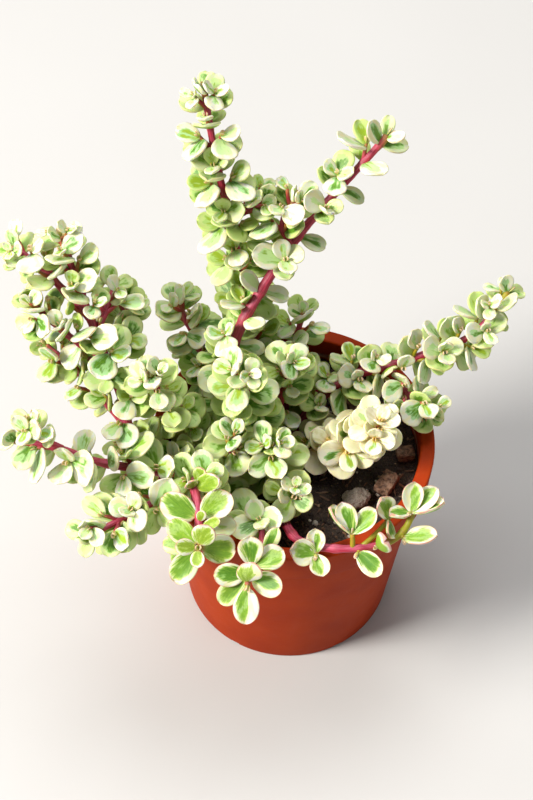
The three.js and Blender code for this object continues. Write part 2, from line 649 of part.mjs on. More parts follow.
// The crown grows in order: the placed leaves, then each shoot's opposite pairs. A leaf that finds no
// room is left out. The small rosettes in the leaf axils are too fine for these solids.
class Crown {
  constructor(stems) {
    this.stems = stems;
    this.leaves = [];
    this.sprigs = [];
    this.obstacles = [];
    for (const stem of stems) {
      const count = Math.floor(stem.length / 2);
      for (let i = 0; i <= count; i += 1) {
        const distance = (stem.length * i) / count;
        this.obstacles.push({
          owner: stem.index, point: stem.at(distance).point, radius: stem.radiusAt(distance),
        });
      }
    }
    for (const [[x, y], [length, width, height]] of Object.values(CHUNKS)) {
      this.obstacles.push({
        owner: -1, point: vector([x, y, SOIL_HEIGHT + height / 2]), radius: (length + width) / 4,
      });
    }
    this.placeFrontLeaves();
    this.placeSprigs(stems.find((each) => each.name === 'shoot_front_right'));
    this.growPairs();
  }

  placeFrontLeaves() {
    for (const [name, entry] of Object.entries(FRONT_LEAVES)) {
      const [shoot, fromTip, tip, width, face = FRONT_FACING] = entry;
      const stem = this.stems.find((each) => each.name === shoot);
      const distance = stem.length - fromTip;
      const root = stem.at(distance).point;
      const along = vector(tip).sub(root);
      const footGap = stem.radiusAt(distance) + CLEARANCE;
      const length = along.length() - footGap;
      const foot = root.clone().addScaledVector(along.normalize(), footGap);
      const leaf = new Leaf({ stem, group: name, foot, along, face: vector(face), length, width });
      this.leaves.push(Object.assign(leaf, { name, placed: true, root, tip: vector(tip) }));
    }
  }

  placeSprigs(stem) {
    for (const [fromTip, end, leaves] of SPRIGS) {
      const sprig = new Sprig(stem, fromTip, vector(end));
      this.sprigs.push(sprig);
      for (const [tip, width, face] of leaves) {
        const along = vector(tip).sub(sprig.end);
        const leaf = new Leaf({
          stem, group: 'sprigs', foot: sprig.end, along, face: vector(face), length: along.length(), width,
        });
        this.leaves.push(Object.assign(leaf, { placed: true }));
      }
      for (let i = 2; i < SPRIG_RINGS; i += 1) {
        const share = i / (SPRIG_RINGS - 1);
        this.obstacles.push({
          owner: stem.index, point: sprig.curve.getPoint(share), radius: sprig.radiusAt(share),
        });
      }
    }
  }

  growPairs() {
    for (const stem of this.stems) {
      stem.nodes.forEach((distance, i) => {
        if (distance > stem.leafyLength) {
          return;
        }
        for (const side of [0, 1]) {
          this.growPairLeaf(stem, i, side);
        }
      });
    }
  }

  // direction away from the stem on one side of a node
  outward(stem, i, side) {
    const { side: across, cross } = stem.at(stem.nodes[i]);
    const wobble = PAIR_WOBBLE * (scatter(stem.index, i, 11) - 0.5);
    const angle = THREE.MathUtils.degToRad(stem.roll + 90 * (i % 2) + 180 * side + wobble);
    return across.multiplyScalar(Math.cos(angle)).addScaledVector(cross, Math.sin(angle));
  }

  growPairLeaf(stem, i, side) {
    const distance = stem.nodes[i];
    const { point, along: stemward } = stem.at(distance);
    const out = this.outward(stem, i, side);
    const vary = (low, high, salt) => low + (high - low) * scatter(stem.index, i, salt);
    const fromTip = Math.min(stem.nodes.length - 1 - i, SIZE_TOWARDS_TIP.length - 1);
    const lowest = i === 0 && stem.nodes.length > 5 ? 0.85 : 1;
    const fullSize = stem.leaf * SIZE_TOWARDS_TIP[fromTip] * lowest;
    const length = fullSize * vary(0.86, 1.08, 7) * vary(0.94, 1.06, side + 17);
    const lift = THREE.MathUtils.degToRad(
      stem.lift * vary(0.6, 1.1, side + 13) + LIFT_TOWARDS_TIP[fromTip],
    );
    const along = out.clone().multiplyScalar(Math.cos(lift)).addScaledVector(stemward, Math.sin(lift));
    const face = stemward.clone().multiplyScalar(Math.cos(lift)).addScaledVector(out, -Math.sin(lift));
    face.multiplyScalar(FACE_TO_STEM_TIP).addScaledVector(LIGHT, FACE_TO_LIGHT);
    face.addScaledVector(along, -FACE_TO_LIGHT * LIGHT.dot(along));
    this.tryLeaf({
      stem,
      group: `${stem.name} pair ${i}`,
      foot: point.addScaledVector(out, LEAF_FOOT_DEPTH * stem.radiusAt(distance)),
      along,
      face,
      length,
      width: length * vary(...stem.breadth, side + 19),
    });
  }

  // grows the leaf in the first of the tried positions that has room
  tryLeaf(spec) {
    const along = spec.along.clone().normalize();
    const face = flattened(spec.face, along);
    const across = new THREE.Vector3().crossVectors(face, along);
    for (const [turn, pitch, scale] of TRIES) {
      const a = THREE.MathUtils.degToRad(turn);
      const b = THREE.MathUtils.degToRad(pitch);
      const swung = along.clone().multiplyScalar(Math.cos(a)).addScaledVector(across, Math.sin(a));
      const leaf = new Leaf({
        ...spec,
        along: swung.clone().multiplyScalar(Math.cos(b)).addScaledVector(face, Math.sin(b)),
        face: face.clone().multiplyScalar(Math.cos(b)).addScaledVector(swung, -Math.sin(b)),
        length: spec.length * scale,
        width: spec.width * scale,
      });
      if (this.hasRoom(leaf)) {
        this.leaves.push(leaf);
        return;
      }
    }
  }

  hasRoom(leaf) {
    return leaf.samples.every(({ point }) => clearOfPot(point))
      && !this.leaves.some((other) => leaf.meets(other, gapBetween(leaf, other)))
      && !this.obstacles.some((obstacle) => blocks(obstacle, leaf));
  }
}

function gapBetween(leaf, other) {
  if (other.group === leaf.group) {
    return PAIR_LEAF_GAP;
  }
  return other.stem === leaf.stem && !other.placed ? SHOOT_LEAF_GAP : LEAF_GAP;
}

// an obstacle is a ball; the ones of a leaf's own stem near its foot don't count
function blocks({ owner, point, radius }, leaf) {
  if (owner === leaf.stem.index && point.distanceTo(leaf.foot) < 0.4 * leaf.length + radius) {
    return false;
  }
  const { height, out } = leaf.locate(point, radius + LEAF_TO_STEM_GAP);
  return out < 1 && height < 0.7 + radius + LEAF_TO_STEM_GAP;
}

function clearOfPot({ x, y, z }) {
  const radius = Math.hypot(x, y);
  const innerRim = RIM_RADIUS - RIM_WIDTH - LEAF_TO_POT_GAP;
  if (radius > RIM_RADIUS + LEAF_TO_POT_GAP) {
    return true;
  }
  return z > LEAF_TO_POT_GAP + (radius > innerRim ? POT_HEIGHT : SOIL_HEIGHT);
}

// A leaf as a lens: its outline, and a crown point above and below its thickest place.
function leafSolid(leaf) {
  const place = (share, side, height) => leaf.foot.clone()
    .addScaledVector(leaf.along, share * leaf.length)
    .addScaledVector(leaf.across, side * leaf.width)
    .addScaledVector(leaf.face, height);
  const rim = LEAF_OUTLINE.map(([share, side]) => place(share, -side, 0));
  rim.push(...LEAF_OUTLINE.slice(1, -1).toReversed().map(([share, side]) => place(share, side, 0)));
  const thickness = LEAF_HALF_THICKNESS * leaf.bulk;
  const crowns = [place(LEAF_WIDEST, 0, thickness), place(LEAF_WIDEST, 0, -thickness)];
  const geometry = new THREE.BufferGeometry().setFromPoints([...rim, ...crowns]);
  const index = [];
  for (let i = 0; i < rim.length; i += 1) {
    const next = (i + 1) % rim.length;
    index.push(i, next, rim.length);
    index.push(next, i, rim.length + 1);
  }
  geometry.setIndex(index);
  return solidOf(geometry);
}

// a placed leaf, with its foot moved out from the stem's axis until it is just clear of the shoot
function placedLeafSolid(leaf, shoot) {
  let solid;
  for (let out = 0; !solid || solid.minGap(shoot, 2 * CLEARANCE) < CLEARANCE; out += SEAT_STEP) {
    leaf.foot.copy(leaf.root).addScaledVector(leaf.along, out);
    leaf.length = leaf.foot.distanceTo(leaf.tip);
    solid = leafSolid(leaf);
  }
  return solid;
}

// ---------------------------------------------------------------- assembly

const stems = [];
for (const spec of SHOOTS) {
  stems.push(new Stem(spec, stems.length, stems.find((each) => each.name === spec.parent)));
}
const crown = new Crown(stems);
const group = new THREE.Group();

group.add(piece('pot', geometryOf(makePot()), COLOURS.pot, 0.5));
group.add(piece('soil', geometryOf(makeSoil(stems)), COLOURS.soil, 1));
for (const name of Object.keys(CHUNKS)) {
  const color = name.startsWith('pumice') ? COLOURS.pumice : COLOURS.bark;
  group.add(piece(name, makeChunk(name), color, 0.95));
}
for (const stem of stems) {
  const own = crown.leaves.filter((leaf) => leaf.stem === stem);
  const grown = own.filter((leaf) => !leaf.name).map(leafSolid);
  const tubes = [stem, ...crown.sprigs.filter((sprig) => sprig.stem === stem)].map((each) => each.tube());
  const shoot = wasm.Manifold.union([...tubes.map(solidOf), ...grown]);
  const color = stem.name === 'shoot_cream' ? COLOURS.cream : COLOURS.leaf;
  group.add(piece(stem.name, geometryOf(shoot), color, 0.45));
  for (const leaf of own.filter((each) => each.name)) {
    group.add(piece(leaf.name, geometryOf(placedLeafSolid(leaf, shoot)), color, 0.45));
  }
}

export default group;
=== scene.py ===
"""Looks of a variegated elephant bush (Portulacaria afra) in its 12 cm plastic nursery pot.

The plant is laid out in millimetres by the same growth rule as its construction model and every mesh
is handed to Blender in metres. Leaf axils also carry small rosettes, which only this model has.
"""

import json
import math

import bmesh
import bpy
import numpy as np
from mathutils import Euler, Matrix, Vector, noise

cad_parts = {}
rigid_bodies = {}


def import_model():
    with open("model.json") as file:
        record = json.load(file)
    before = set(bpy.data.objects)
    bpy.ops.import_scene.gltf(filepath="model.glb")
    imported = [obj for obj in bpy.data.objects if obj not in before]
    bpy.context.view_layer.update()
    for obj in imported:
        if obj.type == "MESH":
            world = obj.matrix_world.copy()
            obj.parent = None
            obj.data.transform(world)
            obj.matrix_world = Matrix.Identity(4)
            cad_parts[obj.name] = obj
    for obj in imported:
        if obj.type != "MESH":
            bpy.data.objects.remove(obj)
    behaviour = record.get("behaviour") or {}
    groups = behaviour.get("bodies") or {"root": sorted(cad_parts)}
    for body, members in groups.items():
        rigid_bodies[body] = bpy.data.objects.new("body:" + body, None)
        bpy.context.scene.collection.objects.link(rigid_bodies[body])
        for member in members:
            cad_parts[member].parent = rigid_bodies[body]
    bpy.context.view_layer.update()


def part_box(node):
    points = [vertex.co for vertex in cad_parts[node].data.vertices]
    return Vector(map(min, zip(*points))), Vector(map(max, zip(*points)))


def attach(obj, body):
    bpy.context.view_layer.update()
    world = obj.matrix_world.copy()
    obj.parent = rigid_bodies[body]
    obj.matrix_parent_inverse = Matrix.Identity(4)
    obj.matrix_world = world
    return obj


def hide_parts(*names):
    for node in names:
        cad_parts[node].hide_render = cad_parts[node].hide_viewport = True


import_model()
MM = 0.001

# ------------------------------------------------------------------ driving dimensions, millimetres

POT_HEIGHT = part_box("pot")[1].z / MM
RIM_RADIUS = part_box("pot")[1].x / MM
RIM_WIDTH = 6.3                  # flat lip on top of the collar
RIM_THICKNESS = 2.2
COLLAR_HEIGHT = 17
BODY_TOP_RADIUS = 55.5           # outside of the body, level with the collar's lower edge
FOOT_RADIUS = 46.5
WALL = 1.8
FOOT_RING_WIDTH = 3
FOOT_PAD_RADIUS = 18             # the middle of the base also stands on the ground
CHANNEL_HEIGHT = 2.5             # between pad and ring the base is raised, for the drain holes
FLOOR_THICKNESS = 2
DRAIN_HOLES = 6
DRAIN_HOLE_RADIUS = 3
DRAIN_CIRCLE_RADIUS = 30
NOTCH_WIDTH = 4                  # by each hole a notch in the foot ring lets the water out
NOTCH_HEIGHT = 1.2

SOIL_HEIGHT = 95                 # at the middle
CLEARANCE = 0.3                  # gap between neighbouring pieces of the construction model
SEAT_STEP = 0.1                  # step in which a side shoot is moved until it has that gap

STEM_SIDES = 5                   # of the construction model, which seats the side shoots
STEM_TAPER = 0.8                 # exponent of the radius along a stem
STEPS_PER_SPAN = 8               # samples between two guide points
TIP_PAIR_DEPTH = 1               # the last leaf pair sits this far below the tip
TIP_PAIR_SPACE = 3               # and no other pair is nearer than this to the tip
CROWDING_REACH = 30              # pairs stand closer together over this length below the tip
TWIG_RINGS = 6
SPRIG_BOW = 0.1                  # how far a sprig bends towards its stem's tip, as a share of its length

LEAF_HALF_THICKNESS = 0.9
LEAF_FOOT_DEPTH = 0.4            # a pair leaf starts inside its stem, at this share of the radius
FULL_SIZE_LEAF = 11              # shorter leaves are thinner in proportion
PAIR_WOBBLE = 24                 # degrees that a pair strays from its quarter turn
FACE_TO_STEM_TIP = 0.25          # a pair leaf's face turns partly to the stem's tip
FACE_TO_LIGHT = 0.9              # and mostly to the light

LEAF_MIDDLE = 0.53               # middle of the ellipse that stands for a leaf in the tests for room
LEAF_REACH = 0.55                # leaves can meet if their middles are this share of both lengths apart
EDGE_THINNING = 0.55             # the ellipse is this much thinner at its edge
LEAF_GAP = 0.5                   # between leaves of different shoots
SHOOT_LEAF_GAP = 0.15            # between leaves of one shoot
PAIR_LEAF_GAP = -0.35            # the two leaves of a pair may grow into each other at the base
ROSETTE_LEAF_GAP = 0.4           # from rosettes to the leaves of other shoots
LEAF_TO_STEM_GAP = 0.5
LEAF_BESIDE_STEM = 0.7           # half the thickness that a leaf has in this test
LEAF_TO_POT_GAP = 1.8
OBSTACLE_STEP = 2                # stems are rows of balls with this distance
FOOT_REACH = 0.4                 # a leaf may touch its own stem along this share of its length
ROSETTE_FOOT_REACH = 3.5         # and a leaf of a rosette this much further

SHADE_REACH = 8                  # leaves this far from a leaf's line to the light still shade it
SHADE_START = 2.5                # if they are at least this high above it
SHADE_AREA = 60                  # square millimetres that the shade of a low leaf spreads over,
SHADE_SPREAD = 8                 # and how many more for each millimetre of height
FULL_SHADE = 2.8                 # leaf area above a leaf, as a multiple of those, that shades it fully

# The shoots. As in the construction model: `points` are guide points from the buried end to the tip,
# `radius` is that of both ends, `leaf` the length of a full leaf, `bare` the leafless length at the
# base, `gap` the distance between pairs, `roll` turns the pairs about the stem, `lift` raises the
# leaves from it, `breadth` is the least and the most width of a leaf as a share of its length, the
# rule's leaves end at `leafy_length`, and `parent` carries a side shoot. Only seen here: `rosettes` is
# the share of leaf axils with a rosette and `rosette` the length of its leaves; `cup` and `wedge` are
# the least and the most of those values of a Blade, `margin` and `placed_margin` those of its margin;
# `plump` widens the stem, and its last millimetres, `green_tip`, are green.
SHOOT_DEFAULTS = dict(
    radius=(2.2, 1.1), leaf=13, bare=18, gap=10, roll=0, lift=12, leafy_length=math.inf, parent=None,
    rosettes=0.95, rosette=12.5, breadth=(0.84, 0.97), cup=(0.03, 0.2), margin=(0.26, 0.66),
    placed_margin=(0.2, 0.36), wedge=(0.6, 0.84), plump=1.08, green_tip=6,
)
SHOOTS = dict(
    shoot_back_left=dict(
        radius=(3, 1.2), bare=30, roll=15,
        points=[
            (-12, 16, 80), (-16, 30, 108), (-19, 41, 128), (-28, 51, 185), (-34, 60, 212), (-39, 75, 236),
        ],
    ),
    shoot_back_left_side=dict(
        radius=(1.5, 1), leaf=12, bare=4, gap=7, parent="shoot_back_left",
        points=[(-27, 52, 187), (-20, 54, 191), (-13, 56, 195)],
    ),
    shoot_back_right=dict(
        radius=(3.2, 1.4), leaf=13.5, bare=36, gap=14, roll=40, breadth=(0.58, 0.7), rosettes=0.4,
        points=[(-27, 4, 80), (-30, 14, 124), (-24, 24, 148), (-12, 39, 165), (3, 51, 185), (34, 71, 217)],
    ),
    shoot_back_right_side=dict(
        radius=(1.5, 1), leaf=12, bare=4, gap=8, parent="shoot_back_right",
        points=[(-3, 46, 178), (-7, 50, 186), (-2, 56, 196)],
    ),
    shoot_right=dict(
        radius=(2.8, 1.2), bare=24, gap=9.5, roll=30, green_tip=16,
        points=[
            (-2, 4, 80), (5, 12, 106), (21, 24, 117), (41, 29, 121), (57, 32, 127), (75, 37, 134),
            (89, 50, 147),
        ],
    ),
    shoot_right_side=dict(
        radius=(1.5, 1), leaf=11, bare=5, gap=8, parent="shoot_right",
        points=[(41, 28, 120), (49, 16, 115), (58, 9, 114)],
    ),
    shoot_cream=dict(
        radius=(1.9, 1), leaf=14, bare=16, gap=7.5, rosettes=0.8, rosette=14, margin=(0.7, 1.5),
        points=[(8, 2, 80), (10, 0, 101), (21, -7, 113), (31, -6.5, 122), (34, -12.5, 131.5)],
    ),
    shoot_front_right=dict(
        leafy_length=0, cup=(0.22, 0.42), plump=1.2, green_tip=26,
        points=[
            (-6, -22, 82), (-3, -40, 103), (3, -52, 109), (15, -57, 112), (29, -57, 113), (40, -54, 114),
            (46, -49, 117), (49, -42, 122),
        ],
    ),
    shoot_front=dict(
        radius=(2.3, 1.1), bare=22, roll=10, leafy_length=46, placed_margin=(0.06, 0.18), wedge=(0.5, 0.64),
        plump=1.4,
        points=[
            (-20, -20, 82), (-34, -27, 112), (-39.8, -35, 125), (-39, -44, 127), (-37.5, -52.5, 124.5),
            (-37, -59, 121.5), (-37, -63.5, 121.5), (-37, -67, 126.5),
        ],
    ),
    shoot_front_low=dict(
        radius=(1.9, 1), bare=22, roll=30, leafy_length=40, placed_margin=(0.16, 0.34), wedge=(0.56, 0.74),
        points=[
            (-14, -22, 84), (-13, -42, 106), (-11.5, -57, 112.5), (-12, -63, 113), (-14.5, -67, 114),
            (-17, -71.5, 115.5), (-17.4, -79, 118.3),
        ],
    ),
    shoot_left_low=dict(
        radius=(2.7, 1.3), bare=24, gap=12, roll=20, rosettes=0.8, rosette=14.5,
        points=[
            (-30, -8, 82), (-38, -17, 105), (-54, -24, 115), (-79, -30, 130), (-94, -30, 139),
            (-112, -30, 144),
        ],
    ),
    shoot_left_low_side=dict(
        radius=(1.5, 1), leaf=11, bare=4, gap=7, parent="shoot_left_low", rosette=14,
        points=[(-93, -30, 139), (-101, -30, 147), (-105, -28, 155)],
    ),
    shoot_left_front=dict(
        radius=(2.2, 1.2), bare=24, roll=50, rosette=14.5,
        points=[
            (-27, -13, 82), (-37, -24, 105), (-49, -34, 114), (-60, -44, 119), (-71, -53, 121),
            (-82, -59, 120),
        ],
    ),
    shoot_left_up=dict(
        radius=(3.2, 1.3), bare=34, roll=35,
        points=[
            (-34, 0, 80), (-46, -8, 106), (-60, -13, 115.5), (-68, -11, 122), (-70, -4, 136), (-79, 8, 157),
            (-89, 26, 177), (-95, 36, 192),
        ],
    ),
    shoot_left_up_end=dict(
        radius=(2, 1.1), leaf=12, bare=6, gap=9, roll=20, parent="shoot_left_up",
        points=[(-83, 15, 166), (-95, 24, 174), (-103, 30, 179), (-115, 36, 185)],
    ),
    shoot_left_up_middle=dict(
        radius=(1.8, 1), leaf=12, bare=6, gap=9, roll=60, parent="shoot_left_up",
        points=[(-77, 5, 153), (-92, 10, 161), (-107, 18, 172)],
    ),
    shoot_left_up_low=dict(
        radius=(1.8, 1), leaf=12, bare=5, gap=9, parent="shoot_left_up",
        points=[(-69, -10, 127), (-86, 4, 140), (-102, 12, 152)],
    ),
    shoot_left_up_inner=dict(
        radius=(1.8, 1), leaf=12, bare=6, gap=9, parent="shoot_left_up",
        points=[(-75, 3, 148), (-71, 19, 154), (-68, 32, 159)],
    ),
    shoot_middle_left=dict(
        bare=20, roll=45, points=[(-38, 8, 82), (-43, 2, 109), (-53, -2, 131), (-58, -7, 158)],
    ),
    shoot_middle=dict(
        bare=20, rosette=14, points=[(-17, -2, 82), (-18, -1, 106), (-19, 1, 132), (-22, -5, 158)],
    ),
    shoot_back=dict(
        radius=(2, 1.1), gap=9, roll=20, points=[(-4, 12, 82), (-3, 28, 108), (3, 50, 131)],
    ),
    shoot_back_low=dict(
        gap=9, roll=70, points=[(-26, 16, 82), (-36, 30, 112), (-51, 47, 140)],
    ),
    shoot_right_low=dict(
        radius=(1.8, 1), leaf=11, gap=9, points=[(1, 17, 82), (6, 25, 98), (14, 33, 106)],
    ),
    shoot_middle_right=dict(
        radius=(2, 1.1), gap=9, roll=55, points=[(-8, 8, 82), (-6, 11, 115), (-3, 15, 142)],
    ),
    shoot_middle_front=dict(
        radius=(1.9, 1), bare=15, gap=8.5, roll=20, rosette=14.5,
        points=[(-7, -10, 82), (-8, -14, 106), (-9, -18, 127)],
    ),
    shoot_middle_front_left=dict(
        radius=(1.9, 1), bare=15, gap=9, roll=60, rosette=14.5,
        points=[(-20, -10, 82), (-24, -14, 108), (-27, -18, 131)],
    ),
    shoot_front_inner=dict(
        radius=(1.7, 1), bare=13, gap=8.5, points=[(-10, -18, 84), (-4, -26, 103), (0, -34, 114)],
    ),
    shoot_left_inner=dict(
        radius=(1.8, 1), bare=17, gap=9, roll=30, points=[(-44, 4, 84), (-53, 12, 111), (-64, 16, 128)],
    ),
    shoot_left_up_back=dict(
        radius=(1.8, 1), leaf=12, bare=5, gap=8, roll=30, parent="shoot_left_up",
        points=[(-81, 12, 161), (-77, 21, 166), (-74, 30, 170)],
    ),
    shoot_left_up_under=dict(
        radius=(1.8, 1), leaf=12, bare=5, gap=8, roll=60, parent="shoot_left_up",
        points=[(-73, 0, 145), (-79, 5, 145.5), (-85, 9, 148)],
    ),
)

FRONT_FACING = (0, -0.585, 0.811)        # the way most placed leaves look

# The leaves of the two shoots that hang over the front of the rim: shoot, distance of the foot from
# the shoot's tip, leaf tip, width, and the way the upper face looks if it isn't FRONT_FACING.
FRONT_LEAVES = dict(
    leaf_front_left=("shoot_front", 18, (-53, -47.3, 130), 12.5),
    leaf_front_right=("shoot_front", 18, (-25.3, -45, 132.3), 12.5),
    leaf_front_right_low=("shoot_front", 15.5, (-22.5, -52.5, 119.5), 9.5),
    leaf_front_upper_left=("shoot_front", 5, (-49, -56, 128), 10),
    leaf_front_centre_up=("shoot_front", 0.6, (-33.5, -61.5, 135), 10),
    leaf_front_centre_left=("shoot_front", 0.6, (-46, -69, 130), 7),
    leaf_front_centre_down=("shoot_front", 0.6, (-37.5, -75.5, 125), 6),
    leaf_front_low_left=("shoot_front", 4.5, (-47, -75.5, 114.5), 11.5),
    leaf_front_low_right=("shoot_front", 4, (-22.5, -64, 120), 12),
    leaf_front_behind_left=("shoot_front", 7.5, (-51.5, -60, 118), 9),
    leaf_front_behind_low=("shoot_front", 8.5, (-48, -64.5, 110), 8.5),
    leaf_front_bud_left=("shoot_front", 16, (-36, -52.5, 130.5), 3),
    leaf_front_bud_right=("shoot_front", 14, (-29, -55, 128), 3.5),
    leaf_front_top_left=("shoot_front", 31, (-41.8, -41, 134.5), 5.5),
    leaf_front_top_middle=("shoot_front", 35, (-35.3, -37.5, 137), 6.5),
    leaf_front_top_right=("shoot_front", 31.5, (-28.8, -42.4, 140.2), 6.5),
    leaf_low_top=("shoot_front_low", 11, (-17, -61, 126.5), 11),
    leaf_low_right=("shoot_front_low", 12, (-3.5, -64, 121), 11),
    leaf_low_left=("shoot_front_low", 7, (-31, -74.5, 118.5), 10),
    leaf_low_centre=("shoot_front_low", 2, (-16.5, -78, 128), 10.5, (0, -1, -0.1)),
    leaf_low_lower_right=("shoot_front_low", 6, (-3.5, -79, 116.5), 10.5),
    leaf_low_lower_left=("shoot_front_low", 7, (-28.5, -82, 109.5), 9.5),
    leaf_low_bottom=("shoot_front_low", 1, (-18, -92, 110.5), 11),
    leaf_low_back_right=("shoot_front_low", 20, (-5.5, -54, 122), 6.5),
)

# The values of front leaves that aren't left to chance; what each one does is said in Blade.
BLADE_SHAPES = dict(
    leaf_front_left=dict(lopsided=0.4, youth=0.15),
    leaf_front_right=dict(lopsided=-0.4, youth=0.3),
    leaf_front_right_low=dict(margin=0.8),
    leaf_front_upper_left=dict(lopsided=0.3, youth=0.2),
    leaf_front_centre_up=dict(lopsided=-0.1, youth=0.8),
    leaf_front_centre_left=dict(lopsided=0.15, youth=0.8),
    leaf_front_centre_down=dict(lopsided=0.3, youth=0.9),
    leaf_front_low_right=dict(lopsided=0.3, youth=0.4),
    leaf_front_bud_left=dict(widened=1.4, youth=0.9, margin=0.25),
    leaf_front_bud_right=dict(widened=1.3, youth=0.8),
    leaf_front_top_left=dict(widened=1.15, youth=0.6, margin=0.3, bend=0.1),
    leaf_front_top_middle=dict(widened=1.1, youth=0.4),
    leaf_front_top_right=dict(widened=1.25, wedge=0.5, bend=0.1, youth=0.5),
    leaf_low_left=dict(lopsided=0.3),
    leaf_low_centre=dict(lopsided=-0.5, bend=-0.42, turn=-0.5, cup=0.05, margin=0.12, youth=0.6),
    leaf_low_lower_right=dict(lopsided=-0.5),
    leaf_low_lower_left=dict(youth=0.3),
    leaf_low_bottom=dict(lopsided=1),
)

# The twigs of the shoot that hangs over the rim at the front right: distance from the shoot's tip,
# end of the twig, and its leaves, each with its tip, width and the way its upper face looks.
SPRIGS = (
    (49, (9.7, -59.7, 111.7), (
        ((-0.5, -61.5, 116.5), 12.5, FRONT_FACING),
        ((9.5, -53, 120), 8.5, FRONT_FACING),
        ((12.5, -68.5, 109), 9.5, FRONT_FACING),
    )),
    (34, (23.8, -54.2, 118.7), (
        ((14, -46.5, 125.5), 9, (0.75, 0.06, 0.66)),
        ((20, -46, 129.5), 9.5, FRONT_FACING),
        ((33.5, -48, 127), 9.5, (-0.3, -0.5, 0.8)),
    )),
    (31, (38.8, -46.9, 119.1), (
        ((35, -42.5, 128.5), 10.5, (0.5, -0.45, 0.75)),
        ((39, -55, 117), 9, (0.9, -0.26, 0.36)),
    )),
    (31, (26.5, -59, 112.8), (
        ((36, -67.5, 110.5), 10, FRONT_FACING),
    )),
    (23, (34.5, -56.6, 114), (
        ((36.5, -60, 122.5), 10, (0.88, 0.27, 0.44)),
    )),
    (13, (44.6, -53.4, 115.3), (
        ((58, -54, 118.5), 11, (0, 0.16, 0.98)),
    )),
    (3, (47.5, -45, 121), (
        ((39, -48, 125), 8.5, (0, 0.3, 0.95)),
        ((48, -36.5, 131), 10, FRONT_FACING),
        ((57.5, -37.5, 129), 10, (-0.4, -0.5, 0.75)),
        ((61, -43.5, 126), 9.5, (-0.31, 0.36, 0.88)),
    )),
)

# Bark and pumice on the soil: place, size, turn about Z.
CHUNKS = dict(
    pumice_chunk=((27, -23), (12, 9, 7), 20),
    bark_chunk_front=((40, -15), (13, 8, 6), 60),
    bark_chunk_right=((48, 0), (9, 7, 6), 10),
    bark_chunk_back=((26, 25), (12, 8, 6), 130),
)


# ------------------------------------------------------------------ vectors and scatter

def unit(v):
    """The vectors along the last axis, each made one long."""
    v = np.asarray(v, float)
    return v / np.linalg.norm(v, axis=-1, keepdims=True)


def flattened(v, axis):
    """The part of v square to a unit axis, made one long."""
    return unit(v - axis * np.sum(v * axis, axis=-1, keepdims=True))


def rotated(a, b, angle):
    """Two unit vectors, square to each other, after a turn from a towards b."""
    cos, sin = math.cos(angle), math.sin(angle)
    return a * cos + b * sin, b * cos - a * sin


def between(low, high, share):
    return low + (high - low) * share


def scatter(a, b=0, c=0):
    """Repeatable scatter in 0..1 from up to three whole numbers."""
    wave = math.sin(a * 12.9898 + b * 78.233 + c * 37.719) * 43758.5453
    return wave - math.floor(wave)


LIGHT = unit((-0.1, -0.5, 1))            # leaves turn their faces to it


# ------------------------------------------------------------------ stems and twigs

def catmull_rom(points, steps):
    """Points on a uniform Catmull-Rom curve through the guide points."""
    p = np.array([2 * points[0] - points[1], *points, 2 * points[-1] - points[-2]])
    t = (np.arange(steps) / steps)[:, None]
    spans = [
        0.5 * (2 * b + (c - a) * t + (2 * a - 5 * b + 4 * c - d) * t**2 + (3 * b - a - 3 * c + d) * t**3)
        for a, b, c, d in zip(p, p[1:], p[2:], p[3:])
    ]
    return np.concatenate([*spans, points[-1:]])


